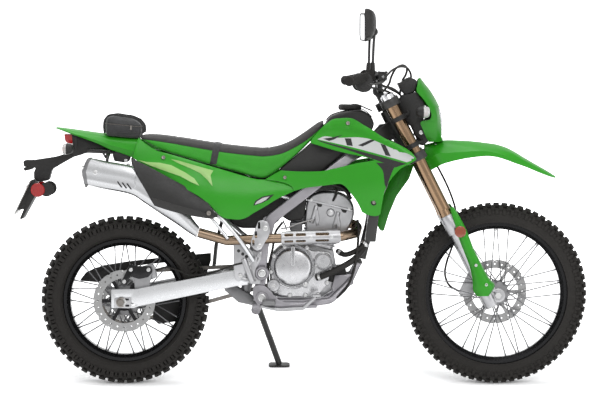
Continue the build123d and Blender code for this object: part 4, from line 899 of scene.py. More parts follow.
fender = {"wall": 3.0, "rows": [
    [(1184, -40, 829), (1166, -44, 868), (1161, -30, 905), (1160, 0, 926)],
    [(1222, -66, 851), (1205, -68, 893), (1190, -40, 916), (1180, 0, 932)],
    [(1250, -71, 861), (1246, -72, 897), (1240, -42, 926), (1236, 0, 944)],
    [(1300, -74, 873), (1300, -75, 901), (1300, -44, 927), (1300, 0, 943)],
    [(1350, -75, 881), (1350, -76, 904), (1350, -45, 925), (1350, 0, 940)],
    [(1400, -75, 885), (1400, -76, 903), (1400, -45, 920), (1400, 0, 934)],
    [(1440, -73, 880), (1440, -74, 895), (1440, -45, 914), (1440, 0, 928)],
    [(1478, -70, 868), (1478, -71, 881), (1478, -50, 903), (1478, 0, 916)],
    [(1510, -66, 856), (1510, -67, 867), (1510, -52, 890), (1510, 0, 900)],
    [(1550, -60, 842), (1550, -61, 851), (1550, -48, 867), (1550, 0, 876)],
    [(1600, -51, 821), (1600, -52, 828), (1600, -40, 840), (1600, 0, 847)],
    [(1640, -41, 806), (1640, -42, 811), (1640, -32, 818), (1640, 0, 824)],
    [(1666, -28, 798.5), (1666, -29, 800.5), (1668, -20, 802.5), (1671, 0, 803.5)]]}
frontFender = flowSheet("frontFender", [acrossRow(row) for row in fender["rows"]], sharp=(1, 5))
dressed(thickened(facing(frontFender, (0, 0, 1)), fender["wall"]), "greenPlastic")
tongue = block("fenderTongue", (1140, 0, 872), (96, 44, 9), 3, "greenPlastic",
               Matrix.Rotation(radians(-26.7), 3, "Y"))
fenderBolts = spotted("fenderBolts", capUnit, [((1204, y, 926), (0.1, 0, 1), 1.0) for y in (-22, 22)])
settled(joined("frontFender", [frontFender, tongue, fenderBolts]), "steering", ["front_fender"], 20)

mask = {"wall": 3.0,
        "cowl": [[(1134, -40, 1178), (1139, -30, 1184), (1142, -16, 1187), (1143, 0, 1187.5)],
                 [(1130, -66, 1158), (1146, -57, 1160), (1158, -30, 1162), (1163, 0, 1162)],
                 [(1127, -84, 1134), (1156, -73, 1135), (1176, -41, 1137), (1183, 0, 1137)],
                 [(1149, -96, 1108), (1175, -86, 1104), (1194, -50, 1105), (1203, 0, 1105)],
                 [(1171, -104, 1076), (1196, -92, 1074), (1211, -58, 1074), (1219, 0, 1073)]],
        "cheek": [[(1171, -104, 1076), (1184, -100, 1075), (1196, -92, 1074), (1211, -58, 1074)],
                  [(1182, -107, 1046), (1193, -103, 1046), (1203, -95, 1046), (1215, -64, 1046)],
                  [(1174, -108, 1024), (1190, -104, 1024), (1204, -96, 1024), (1219, -66, 1024)],
                  [(1141, -106, 1016), (1176, -102, 1014), (1202, -94, 1012), (1220, -66, 1012)],
                  [(1151, -98, 985), (1178, -96, 985), (1202, -86, 985), (1222, -62, 985)],
                  [(1162, -84, 960), (1182, -84, 960), (1204, -74, 960), (1223, -55, 960)],
                  [(1173, -66, 940), (1188, -66, 939), (1206, -58, 939), (1222, -46, 941)]],
        "chin": [[(1223, -54, 956), (1230, -30, 954), (1232, 0, 954)],
                 [(1222, -46, 941), (1226, -26, 941), (1227, 0, 941)],
                 [(1173, -66, 939), (1180, -30, 938), (1182, 0, 938)]],
        # height, nose, half width
        "lens": [(1074, 1218, 56), (1060, 1224, 62), (1030, 1230, 64), (1000, 1232, 64), (970, 1231, 57),
                 (952, 1228, 49)]}


def headMask():
    cowl = facing(flowSheet("cowl", [acrossRow(row) for row in mask["cowl"]]), (1, 0, 0.3))
    right = facing(flowSheet("cheek", mask["cheek"]), (0, -1, 0))
    left = mirroredCopy(right, "cheekLeft")
    chin = facing(flowSheet("chin", [acrossRow(row) for row in mask["chin"]]), (0.4, 0, -1))
    parts = [thickened(part, mask["wall"]) for part in (cowl, right, left, chin)]
    # The mask wears the darker green of painted shade.
    return dressed(joined("headlightMask", parts), "maskPlastic")


settled(headMask(), "steering", ["headlight_mask"], 24)


def headLamp():
    # Clear cover over a stepped reflector, with a bulb shield and a dark housing behind.
    rows = [[(nose - 16, -half, z), (nose - 5, -half * 0.7, z), (nose, 0, z), (nose - 5, half * 0.7, z),
             (nose - 16, half, z)] for z, nose, half in mask["lens"]]
    cover = dressed(thickened(facing(flowSheet("lampCover", rows), (1, 0, 0)), 2.4), "clearLens")
    bowl = [(8, -44), (20, -38), (34, -22), (44, -6), (52, 4), (56, 4), (58, 0), (46, -24), (20, -44), (8, -48)]
    reflector = lathed("reflector", bowl, (1206, 0, 1012), (1, 0, 0), 40, "chrome", closed=True)
    bulb = lathed("bulb", [(0, 6), (5, 4), (7, -4), (7, -30), (9, -32), (9, -44), (0, -44)], (1196, 0, 1012),
                  (1, 0, 0), 20, "clearLens")
    rings = []
    for deep, half in ((0, 56), (28, 52), (42, 36)):
        outline = rounded([(-half, 956), (half, 956), (half + 8, 1010), (half - 4, 1066), (-half + 4, 1066),
                           (-half - 8, 1010)], 14)
        rings.append([(1206 - deep, y, z) for y, z in outline])
    housing = dressed(thickened(flowSheet("housing", rings, along=2, across=1), 2), "blackPlastic")
    return joined("headlight", [cover, reflector, bulb, housing])


settled(headLamp(), "steering", ["headlight"], 28)
print("stage: mask and fender")

guard = {"wall": 3.0, "outside": -116, "screws": ((1352, -141, 470), (1392, -140, 395)), "rows": [
    # Down the leg: the rear edge's x and z, then the front edge's.
    (1256, 690, 1264, 691), (1263, 655, 1283, 662), (1276, 610, 1306, 620), (1290, 570, 1322, 585),
    (1310, 520, 1343, 530), (1330, 470, 1368, 480), (1340, 430, 1388, 440), (1344, 400, 1408, 408),
    (1346, 372, 1424, 388), (1360, 350, 1404, 352)]}


def forkGuard():
    # A shell round the front and outside of the lower leg, wider over the axle lug.
    rows = []
    for rearX, rearZ, frontX, frontZ in guard["rows"]:
        wide = Vector((frontX - rearX, 0, frontZ - rearZ))
        middle = Vector((rearX, 0, rearZ)) + wide * 0.5
        bow = min(24, wide.length * 0.42)
        row = [middle + wide * share + Vector((0, guard["outside"] - bow * bulge, 0))
               for share, bulge in ((-0.5, 0), (-0.3, 0.72), (0, 1), (0.34, 0.8))]
        rows.append(row + [Vector((frontX, -112, frontZ)), Vector((frontX + 1, -92, frontZ))])
    sheet = flowSheet("guard", rows, sharp=(4,))
    return dressed(thickened(facing(sheet, (0, -1, 0)), guard["wall"], 1), "greenPlastic")


guardReflector = lathed("guardReflector", [(0, 0), (20, 0), (22, 1.5), (22, 6), (20, 8), (17, 8.6), (0, 8.6)],
                        (1292, -133, 598), (0, -1, 0), 32, "amberLens")
guardScrews = spotted("guardScrews", capUnit, [(spot, (0, -1, 0), 1.0) for spot in guard["screws"]])
rightGuard = joined("rightGuard", [forkGuard(), guardReflector, guardScrews])
settled(joined("forkGuards", [rightGuard, mirroredCopy(rightGuard, "leftGuard")]), "steering",
        ["fork_guards"], 26)
print("stage: fork guards")


def through(pairs, value):
    # Smooth value through (key, value) pairs.
    pairs = sorted(pairs)
    keys = [key for key, _ in pairs]
    if value <= keys[0]:
        slope = (pairs[1][1] - pairs[0][1]) / (keys[1] - keys[0])
        return pairs[0][1] + slope * (value - keys[0])
    if value >= keys[-1]:
        slope = (pairs[-1][1] - pairs[-2][1]) / (keys[-1] - keys[-2])
        return pairs[-1][1] + slope * (value - keys[-1])
    index = max(k for k in range(len(keys) - 1) if keys[k] <= value)
    (x0, y0), (x1, y1) = pairs[index], pairs[index + 1]
    rises = []
    for k in (index, index + 1):
        low, high = pairs[max(k - 1, 0)], pairs[min(k + 1, len(pairs) - 1)]
        rises.append((high[1] - low[1]) / (high[0] - low[0]) * (x1 - x0))
    t = (value - x0) / (x1 - x0)
    return (y0 * (2 * t ** 3 - 3 * t * t + 1) + rises[0] * (t ** 3 - 2 * t * t + t)
            + y1 * (3 * t * t - 2 * t ** 3) + rises[1] * (t ** 3 - t * t))


def bodySide(stations, swells=()):
    # Half width of the bodywork at any (x, z). A swell leans out from its upper line to its lower one.
    def width(x, z):
        half = through([(place, through([(up, out) for out, up in points], z)) for place, points in stations], x)
        for upper, lower, lift in swells:
            ends = max(upper[0][0], lower[0][0]), min(upper[-1][0], lower[-1][0])
            if ends[0] < x < ends[1]:
                top, low = through(upper, x), through(lower, x)
                if top > low + 0.5:
                    share = (top - z) / (top - low)
                    fade = min(1, (x - ends[0]) / 25, (ends[1] - x) / 25, (top - low) / 14)
                    if 0 < share <= 1:
                        half += lift * fade * share
                    elif 1 < share:
                        half += lift * fade * max(0, 1 - (low - z) / 9)
        return half
    return width


def chained(*chains):
    # Smooth runs that meet at corners make one outline.
    outline = []
    for chain in chains:
        outline += flowLine(chain, 5)[:-1]
    return outline


def panel(name, outline, width, finish, wall=3.0, lift=0.0, step=11, holes=(), edge=0.9):
    # An outline seen from the side is filled, cut into a net, laid on the body's side and given a wall.
    work = bmesh.new()
    edges = []
    for loop in (outline, *holes):
        corners = [work.verts.new((x, 0, z)) for x, z in loop]
        edges += [work.edges.new(pair) for pair in zip(corners, corners[1:] + corners[:1])]
    bmesh.ops.triangle_fill(work, edges=edges, use_beauty=True)
    bmesh.ops.dissolve_limit(work, angle_limit=0.001, verts=work.verts, edges=work.edges)
    for k, axis in enumerate(((1, 0, 0), (0, 0, 1))):
        low, high = min(p[k] for p in outline), max(p[k] for p in outline)
        for cut in range(int(low // step) + 1, int(high // step) + 1):
            bmesh.ops.bisect_plane(work, geom=work.verts[:] + work.edges[:] + work.faces[:], dist=0.02,
                                   plane_co=Vector(axis) * cut * step, plane_no=axis)
    bmesh.ops.remove_doubles(work, verts=work.verts, dist=0.05)
    for vert in work.verts:
        vert.co.y = -(width(vert.co.x, vert.co.z) + lift)
    mesh = bpy.data.meshes.new(name)
    work.to_mesh(mesh)
    work.free()
    piece = thickened(facing(linked(name, mesh), (0, -1, 0)), wall)
    if edge:
        bevelled(piece, edge, 2, 60)
    return dressed(piece, finish)


def graphic(name, outline, width, finish, lift):
    # A thin flat shape laid over a panel.
    return panel(name, outline, width, finish, 0.5, lift, edge=0)


def bothSides(name, parts):
    right = joined(name, parts)
    return joined(name, [right, mirroredCopy(right, name + "Left")])


sidePanel = {
    "stations": [(20, [(98, 985), (108, 950), (116, 915), (120, 895), (120, 850)]),
                 (200, [(108, 910), (122, 880), (140, 850), (152, 815), (156, 760)]),
                 (350, [(114, 870), (130, 835), (150, 790), (160, 735), (156, 650)]),
                 (500, [(104, 825), (116, 795), (130, 755), (134, 710), (126, 630)]),
                 (670, [(100, 800), (106, 780), (112, 765), (114, 750), (110, 720)])],
    "swells": [([(40, 884), (90, 880), (150, 867), (230, 838), (270, 806), (296, 770)],
                [(40, 874), (90, 858), (150, 840), (230, 808), (270, 786), (296, 769)], 6.0),
               ([(150, 903), (200, 890), (250, 875), (300, 861), (330, 850), (350, 800), (352, 764)],
                [(150, 899), (200, 878), (250, 861), (300, 836), (330, 800), (350, 766), (352, 763)], 5.0)],
    "outline": chained([(60, 956), (80, 940), (105, 922), (130, 908), (150, 902)],
                       [(150, 902), (200, 889), (300, 860), (400, 830), (500, 801), (545, 796)],
                       [(545, 796), (600, 787), (635, 777), (650, 765), (655, 752)],
                       [(655, 752), (600, 727), (550, 697), (500, 668), (480, 655), (460, 647), (440, 645),
                        (400, 649), (380, 657), (360, 674), (340, 697), (300, 731), (250, 760), (200, 787),
                        (150, 812), (100, 838), (40, 882)],
                       [(40, 882), (50, 920), (60, 956)]),
    "slash": [(500, 697), (508, 716), (534, 732), (580, 741), (576, 736), (560, 720), (535, 708), (506, 699)],
    "slashFill": [(506, 702), (513, 713), (536, 727), (562, 733), (548, 719), (530, 709)],
    # Pale-green streaks along the swells: painted highlight where they face the light.
    "highlightStreaks": [[(60, 872), (94, 865), (144, 862), (188, 853), (241, 826), (276, 803), (296, 775), (261, 791),
                 (223, 812), (159, 833), (106, 852)],
                [(184, 876), (217, 870), (276, 853), (334, 836), (348, 832), (338, 815), (346, 773), (328, 795),
                 (299, 822), (261, 841), (217, 859)]],
    "bolt": (157, 881)}
sideWidth = bodySide(sidePanel["stations"], sidePanel["swells"])
boltX, boltZ = sidePanel["bolt"]
panelParts = [panel("sidePanel", sidePanel["outline"], sideWidth, "greenPlastic"),
              graphic("slash", sidePanel["slash"], sideWidth, "blackPlastic", 0.3),
              graphic("slashFill", sidePanel["slashFill"], sideWidth, "paleGraphic", 0.7),
              spotted("panelBolt", capUnit, [((boltX, -sideWidth(boltX, boltZ) - 0.2, boltZ), (0, -1, 0.2), 1.3)],
                      "chainSteel")]
panelParts += [graphic("streak", outline, sideWidth, "paleGreen", 1.8) for outline in sidePanel["highlightStreaks"]]
settled(bothSides("sidePanels", panelParts), "chassis", ["side_panels"], 40)

shroud = {
    "stations": [(530, [(108, 900), (112, 860), (114, 830), (114, 800), (108, 740)]),
                 (700, [(92, 1000), (104, 950), (126, 880), (128, 800), (120, 720)]),
                 (850, [(98, 1060), (114, 980), (144, 900), (158, 800), (146, 660)]),
                 (1000, [(124, 1040), (150, 960), (176, 880), (184, 790), (160, 640)]),
                 (1135, [(160, 1000), (174, 930), (186, 880), (186, 820), (170, 700)])],
    "swells": [([(745, 988), (800, 1027), (860, 1036), (900, 1024), (950, 993), (1000, 960), (1060, 933), (1120, 884)],
                [(745, 970), (800, 1003), (860, 1000), (900, 988), (950, 968), (1000, 945), (1060, 918), (1120, 878)],
                9.0),
               ([(605, 834), (700, 830), (800, 840), (900, 864), (950, 872)],
                [(605, 826), (700, 820), (800, 829), (900, 852), (950, 862)], 3.0)],
    "outline": chained([(545, 797), (605, 832)],
                       [(605, 832), (650, 829), (700, 828), (760, 830), (800, 838), (850, 850), (900, 862), (962, 872)],
                       [(962, 872), (950, 879), (900, 890), (830, 905), (780, 919), (720, 937)],
                       [(720, 937), (722, 948), (740, 970), (765, 997), (800, 1025), (830, 1031), (870, 1032),
                        (893, 1024), (920, 1007), (950, 990), (1000, 957), (1060, 930), (1100, 905), (1120, 882)],
                       [(1120, 882), (1118, 874), (1090, 857), (1062, 842), (1040, 820), (1020, 795), (1005, 770),
                        (996, 735), (990, 700), (985, 668)],
                       [(985, 668), (975, 661), (955, 660), (930, 667), (915, 675)],
                       [(915, 675), (905, 698), (888, 726), (870, 750), (852, 772), (832, 782), (800, 779),
                        (750, 772), (700, 765), (655, 753)],
                       [(655, 753), (650, 766), (636, 778), (600, 789), (545, 797)]),
    "band": chained([(745, 951), (775, 962), (820, 957), (860, 958), (900, 959), (945, 953), (985, 938), (1030, 918),
                     (1085, 899), (1112, 884)], [(1112, 884), (1106, 874), (1084, 866)],
                    [(1084, 866), (1040, 879), (1000, 890), (950, 903), (900, 916), (850, 928), (800, 939),
                     (745, 951)]),
    "rule": chained([(744, 949), (800, 934), (850, 922), (900, 909), (950, 896), (1000, 883), (1050, 869), (1084, 860)],
                    [(1084, 860), (1060, 853), (1042, 846)], [(1042, 846), (1000, 862), (950, 880), (900, 898),
                                                            (850, 914), (800, 928), (744, 946)]),
    "wedge": chained([(968, 864), (1000, 862), (1040, 850)], [(1040, 850), (1030, 832), (1018, 800), (1008, 770)],
                     [(1008, 770), (1001, 780), (998, 805), (992, 836), (968, 864)]),
    "slashes": [[(768, 953), (800, 958), (842, 968), (830, 962), (808, 950), (790, 945)],
                [(850, 955), (874, 955), (880, 926), (858, 929)], [(900, 929), (918, 925), (965, 948), (950, 951)],
                [(985, 936), (1004, 930), (1024, 888), (1004, 892)]],
    # x, z, growth of the screw, finish of its cup
    "bolts": ((862, 1012, 1.275, "greenPlastic"), (621, 805, 1.125, "greenPlastic"), (960, 712, 1.125, "blackPlastic"))}
shroudWidth = bodySide(shroud["stations"], shroud["swells"])
shroudParts = [panel("shroudSkin", shroud["outline"], shroudWidth, "greenPlastic"),
               graphic("band", shroud["band"], shroudWidth, "paleGraphic", 0.3),
               graphic("rule", shroud["rule"], shroudWidth, "blackPlastic", 0.35),
               graphic("wedge", shroud["wedge"], shroudWidth, "blackPlastic", 0.3)]
shroudParts += [graphic("slash", outline, shroudWidth, "blackPlastic", 0.7) for outline in shroud["slashes"]]
for x, z, growth, finish in shroud["bolts"]:
    spot = Vector((x, -shroudWidth(x, z), z))
    shroudParts.append(lathed("boltCup", [(7.4, 0.6), (10.5, 0.6), (11.5, -1), (7, -1)], spot, (0, -1, 0.1), 24,
                              finish, closed=True))
    screw = (spot - Vector((0, 0.3, 0)), (0, -1, 0.1), growth)
    shroudParts.append(spotted("shroudBolt", capUnit, [screw], "chainSteel"))
settled(bothSides("shrouds", shroudParts), "chassis", ["shrouds"], 40)
print("stage: side panels and shrouds")

tail = {"wall": 3.0, "rows": [
    [(40, -104, 880), (48, -108, 902), (57, -90, 940), (58, -50, 953), (58, 0, 956)],
    [(0, -93, 895), (0, -96, 916), (4, -80, 945), (4, -44, 959), (4, 0, 962)],
    [(-50, -86, 911), (-50, -89, 929), (-48, -74, 953), (-48, -40, 965), (-48, 0, 969)],
    [(-100, -79, 934), (-100, -82, 945), (-98, -66, 961), (-98, -36, 971), (-98, 0, 974)],
    [(-150, -71, 952), (-150, -73, 959), (-148, -58, 970), (-148, -30, 978), (-148, 0, 981)],
    [(-200, -60, 969), (-200, -62, 974), (-198, -48, 981), (-198, -24, 986), (-198, 0, 988)],
    [(-240, -46, 983), (-240, -47, 986), (-238, -36, 990), (-238, -18, 992), (-238, 0, 993)],
    [(-262, -34, 991), (-262, -35, 992.5), (-262, -26, 994), (-262, -14, 995), (-262, 0, 995.5)]]}
tailCap = flowSheet("tailCap", [acrossRow(row) for row in tail["rows"]], sharp=(1, 7))
thickened(facing(tailCap, (0, 0, 1)), tail["wall"])
bevelled(tailCap, 0.9, 2, 60)
settled(dressed(tailCap, "greenPlastic"), "chassis", ["rear_fender"], 24)

shield = {"bolt": (332, 672),
          "outline": chained([(36, 882), (100, 851), (150, 824), (200, 796), (250, 769), (300, 738), (338, 700)],
                             [(338, 697), (352, 678), (366, 660), (356, 655), (340, 650), (300, 655), (250, 664),
                              (200, 676), (160, 688), (125, 700)],
                             [(125, 700), (112, 722), (100, 745), (80, 780), (60, 815), (48, 842), (36, 868)]),
          "band": chained([(126, 702), (160, 690), (200, 678), (250, 666), (300, 657), (340, 652), (354, 657)],
                          [(354, 657), (320, 672), (250, 692), (200, 706), (150, 722), (114, 732)],
                          [(114, 732), (118, 716), (126, 702)])}
shieldWidth = bodySide([(30, [(170, 880), (182, 820), (184, 740), (172, 690), (162, 650)]),
                        (200, [(160, 800), (172, 760), (177, 720), (176, 690), (170, 650)]),
                        (370, [(150, 720), (164, 700), (174, 680), (175, 660), (172, 640)])])
boltX, boltZ = shield["bolt"]
shieldPiece = joined("heatShield", [
    panel("shieldSkin", shield["outline"], shieldWidth, "shieldPlastic", 2.6),
    panel("shieldBand", shield["band"], shieldWidth, "bandPlastic", 1.2, 1.2, edge=0.4),
    spotted("shieldBolt", capUnit, [((boltX, -shieldWidth(boltX, boltZ) - 0.5, boltZ), (0, -1, 0), 1.6)],
            "chainSteel")])
print("stage: tail and heat shield")


def surfaceOf(piece):
    return BVHTree.FromPolygons([v.co for v in piece.data.vertices], [p.vertices[:] for p in piece.data.polygons])


def touched(surface, origin, way, lift):
    # Where a ray meets a surface, lifted off it; nothing where it misses.
    spot, normal, _, _ = surface.ray_cast(Vector(origin), Vector(way))
    return spot + normal * lift if spot else None


def stuffed(piece, form, held):
    # A fine net swells under pressure. Points that held() names stay, and no point moves further than the swell.
    baked(modified(piece, "REMESH", mode="VOXEL", voxel_size=form["voxel"], use_smooth_shade=True))
    start = [vert.co.copy() for vert in piece.data.vertices]
    pinned = piece.vertex_groups.new(name="held")
    pinned.add([k for k, co in enumerate(start) if held(co)], 1.0, "REPLACE")
    piece.data.transform(Matrix.Scale(0.001, 4))
    cloth = piece.modifiers.new("cloth", "CLOTH")
    cloth.settings.use_pressure = True
    cloth.settings.uniform_pressure_force = form["pressure"]
    cloth.settings.effector_weights.gravity = 0
    cloth.settings.vertex_group_mass = "held"
    cloth.settings.quality = 4
    cloth.collision_settings.use_collision = False
    for step in range(1, 21):
        bpy.context.scene.frame_set(step)
    baked(piece)
    bpy.context.scene.frame_set(1)
    for vert, before in zip(piece.data.vertices, start):
        move = vert.co * 1000 - before
        vert.co = before + (move if move.length < form["swell"] else move.normalized() * form["swell"])
    piece.vertex_groups.clear()
    with meshWork(piece) as work:
        for _ in range(3):
            bmesh.ops.smooth_vert(work, verts=work.verts, factor=0.5, use_axis_x=True, use_axis_y=True,
                                  use_axis_z=True)
    return piece


def channelled(piece, depth, reach, away):
    # A sewn channel is drawn in along a line; away() gives a point's distance from it.
    for vert, normal in [(vert, vert.normal.copy()) for vert in piece.data.vertices]:
        gap = away(vert.co)
        if gap is not None:
            vert.co -= normal * depth * 2.718 ** (-(gap / reach) ** 2)
    return piece


def fullLoop(half):
    # Half a section, from its middle round the right side, and its twin on the left.
    return half + [(-y, z) for y, z in reversed(half[1:-1])]


seat = {"voxel": 6.0, "pressure": 4, "swell": 5.0, "piping": 1.9, "crossSeams": (205, 560),
        # x, half width, underside, top
        "stations": [(63, 88, 954, 966), (100, 96, 932, 964), (150, 101, 908, 960), (230, 105, 882, 949),
                     (300, 106, 862, 938), (370, 105, 842, 927), (430, 102, 826, 920), (500, 97, 806, 913),
                     (545, 92, 800, 911), (600, 84, 836, 920), (650, 76, 876, 941), (700, 68, 922, 973),
                     (740, 60, 964, 1002), (770, 51, 1000, 1023)],
        # Height of the piping along the seat.
        "band": [(40, 957), (60, 954), (100, 949), (150, 942), (200, 934), (300, 916), (400, 900), (500, 889),
                 (540, 886), (580, 890), (620, 901), (700, 945), (765, 1000), (780, 1016)],
        "strap": {"centre": (345, 0, 850), "lean": 0.2, "wide": 26, "reach": 96, "thick": 1.8}}


def seatForm():
    rows = []
    for x, half, low, top in seat["stations"]:
        tall = top - low
        side = [(0, low), (-half * 0.7, low), (-half + 5, low + 1), (-half, low + min(8, tall * 0.2)),
                (-half, low + tall * 0.45), (-half + 3, low + tall * 0.72), (-half + 12, top - 4),
                (-half + 34, top - 0.5), (0, top)]
        rows.append([Vector((x, y, z)) for y, z in fullLoop(side)])
    return cleaned(skin("seatForm", flowRows(rows, 5), True, capped=True))


def seatPiece():
    base = [(x, low) for x, _, low, _ in seat["stations"]]
    band = seat["band"]
    slope = [(x1, (z2 - z1) / (x2 - x1)) for (x1, z1), (x2, z2) in zip(band, band[1:])]
    cushion = stuffed(seatForm(), seat, lambda co: co.z < through(base, co.x) + 7 or co.x < 70)
    subdivided(cushion)

    def fromBand(co):
        return (co.z - through(band, co.x)) / sqrt(1 + through(slope, co.x) ** 2)

    channelled(cushion, 2.2, 4.5, lambda co: fromBand(co) if abs(co.y) > 40 else None)
    for cross in seat["crossSeams"]:
        channelled(cushion, 1.6, 4.0, lambda co: co.x - cross if fromBand(co) > 0 else None)
    heights = cushion.data.attributes.new("band", "FLOAT", "POINT")
    for index, vert in enumerate(cushion.data.vertices):
        heights.data[index].value = fromBand(vert.co)
    surface = surfaceOf(cushion)
    line = [touched(surface, (x, -400, through(band, x)), (0, 1, 0), 0.2) for x in range(72, 770, 9)]
    piping = tubing("seatPiping", [spot for spot in line if spot], seat["piping"], "pipingVinyl", 8, 2)
    return dressed(cushion, "seatVinyl"), surface, [piping, mirroredCopy(piping, "seatPipingLeft")]


def wrapStrap(surface, centre, lean, wide, reach, thick):
    # A flat strap goes over the cushion in a leaning plane.
    rows = []
    for step in range(41):
        turn = radians(-reach + 2 * reach * step / 40)
        way = Vector((lean * cos(turn), sin(turn), cos(turn))).normalized()
        row = [touched(surface, Vector(centre) + Vector((side * wide, 0, 0)) + way * 260, -way, lift)
               for side, lift in ((-0.5, 0.5), (-0.17, 1.4), (0.17, 1.4), (0.5, 0.5))]
        if all(row):
            rows.append(row)
    strap = thickened(facing(skin("seatStrap", rows), (0, 0, 1)), thick, 1)
    return dressed(bevelled(strap, 0.6, 1, 60), "strapWeb")


cushion, cushionSurface, seatTrim = seatPiece()
seatTrim.append(wrapStrap(cushionSurface, **seat["strap"]))
settled(cushion, "chassis", ["seat"], 60)
settled(joined("seatTrim", seatTrim), "chassis", [], 40)
print("stage: seat", len(cushion.data.polygons))

bag = {"voxel": 4.5, "pressure": 4, "swell": 5.0, "base": 968, "zip": 1004, "zipTilt": 0.14, "webs": 46,
       # height, rear, front, half width, corner
       "rings": [(964, -64, 60, 79, 12), (972, -67, 66, 82, 15), (990, -68, 71, 83, 17), (1006, -68, 72, 82, 17),
                 (1020, -67, 69, 80, 16), (1031, -66, 63, 77, 14), (1038, -61, 52, 68, 12)]}


def bagForm():
    # A rounded box whose lid leans and falls away at the front.
    rows = []
    for z, rear, front, half, corner in bag["rings"]:
        loop = rounded([(rear, -half), (front, -half), (front, half), (rear, half)], corner, 5)
        rows.append([Vector((x, y, z + min(0, z - 1000) * (x + 66) * 0.0024
                             - max(0, z - 990) * (max(0, x + 20) / 90) ** 1.5 * 0.52)) for x, y in loop])
    return cleaned(skin("bagForm", rows, True, capped=True))


def ringRoute(surface, z, lift, count=72, tilt=0.0):
    # Spots round the bag at a height, which falls towards its front by the tilt.
    route = []
    for step in range(count):
        turn = 2 * pi * step / count
        way = Vector((cos(turn), sin(turn), 0))
        route.append(touched(surface, Vector((0, 0, z - tilt * cos(turn) * 60)) + way * 200, -way, lift))
    return route


def bagWeb(surface, y):
    # A web goes up the rear, over the lid and down the front.
    over = []
    for x in (-62, -60, -30, 0, 30, 62, 66):
        spot = touched(surface, (max(-56, min(58, x)), y, 1200), (0, 0, -1), 0)
        over.append(spot + Vector((0, 0, 0.9)))
    rear, front = [[touched(surface, (-200 * way, y, z), (way, 0, 0), 0.9) for z in (1022, 1006, 990, 974)]
                   for way in (1, -1)]
    return swept("bagWeb", flowLine(rear[::-1] + over + front, 3), oblong(9, 0.8), "strapWeb")


bagPad = stuffed(bagForm(), bag, lambda co: co.z < bag["base"] + 4)
subdivided(bagPad)
channelled(bagPad, 1.2, 3.0, lambda co: co.z - (bag["zip"] - bag["zipTilt"] * co.x) if co.z > 985 else None)
bagSurface = surfaceOf(bagPad)
dressed(bagPad, "bagCloth")
coilUnit = standingUnit("coilUnit", [(0, -0.5), (1.0, -0.5), (1.0, 0.5), (0, 0.5)], 6)
teeth = ringRoute(bagSurface, bag["zip"], 1.3, 220, bag["zipTilt"])
pull = touched(bagSurface, (30, -400, bag["zip"] - bag["zipTilt"] * 30), (0, 1, 0), 3.0)
bagTrim = [swept("zipTape", ringRoute(bagSurface, bag["zip"], 0.5, 72, bag["zipTilt"]), oblong(0.5, 4.2), "strapWeb",
                 closed=True),
           spotted("zipTeeth", coilUnit, [(spot, (0, 0, 1), (1, 1, 2.6)) for spot in teeth], "chainSteel"),
           swept("bagPiping", ringRoute(bagSurface, 977, 0.6), circle(1.6, 8), "strapWeb", closed=True),
           block("zipPull", pull + Vector((0, -0.6, -6)), (6, 1.6, 16), 0.6, "chainSteel"),
           bagWeb(bagSurface, -bag["webs"]), bagWeb(bagSurface, bag["webs"])]
discard(coilUnit)
settled(bagPad, "chassis", ["tool_bag"], 60)
settled(joined("bagTrim", bagTrim), "chassis", [], 40)
print("stage: tool bag", len(bagPad.data.polygons))


def drawnFor(name, node, parts, replaces=True, smooth=36, body="chassis"):
    # Parts become one piece on a body, and stand for the CAD node or are added to it.
    return settled(joined(name, parts), body, [node] if replaces else [], smooth)


tank = {"outline": [(598, 806), (600, 834), (652, 874), (718, 931), (768, 984), (782, 1022), (800, 1040),
                    (830, 1051), (870, 1059), (914, 1063), (936, 1053), (956, 1033), (966, 1010), (960, 988),
                    (942, 970), (872, 914), (738, 806)],
        "half": 84, "soft": 15,
        # Share of the full width along the tank, which is slim at its nose.
        "plan": [(598, 0.96), (700, 1.0), (866, 1.0), (900, 0.74), (930, 0.5), (981, 0.36)],
        "seam": [(780, 0, 1024), (800, 0, 1042), (830, 0, 1053), (870, 0, 1061), (914, 0, 1065), (936, 0, 1055),
                 (957, 0, 1034)]}
tankShell = plate("tankShell", tank["outline"], -tank["half"], tank["half"], 16, tank["soft"], "tankPlastic", 5)
for vert in tankShell.data.vertices:
    vert.co.y *= through(tank["plan"], vert.co.x)
drawnFor("fuelTank", "fuel_tank", [tankShell, tubing("tankSeam", tank["seam"], 1.8, "tankPlastic", 8)], smooth=40)

cap = {"centre": (872, 0, 1062), "notches": 9, "notchDepth": 2.6,
       "profile": [(0, -2), (38, -2), (43, 1), (45, 6), (45, 15), (42, 19.5), (36, 21), (30, 20), (28, 17.5),
                   (0, 16.5)],
       "breather": [(872, 0, 1079), (886, 0, 1083), (908, 4, 1080), (930, 8, 1070), (958, 14, 1058)]}
fuelCap = lathed("fuelCap", cap["profile"], cap["centre"], (0.02, 0, 1), 96, "blackPlastic")
for vert in fuelCap.data.vertices:
    out = vert.co - Vector(cap["centre"])
    out.z = 0
    if out.length > 37:
        vert.co -= out.normalized() * cap["notchDepth"] * max(0, cos(cap["notches"] * atan2(out.y, out.x))) ** 6
drawnFor("fuelCapKnob", "fuel_cap", [fuelCap, tubing("capBreather", cap["breather"], 2.6, "hoseRubber", 8)])

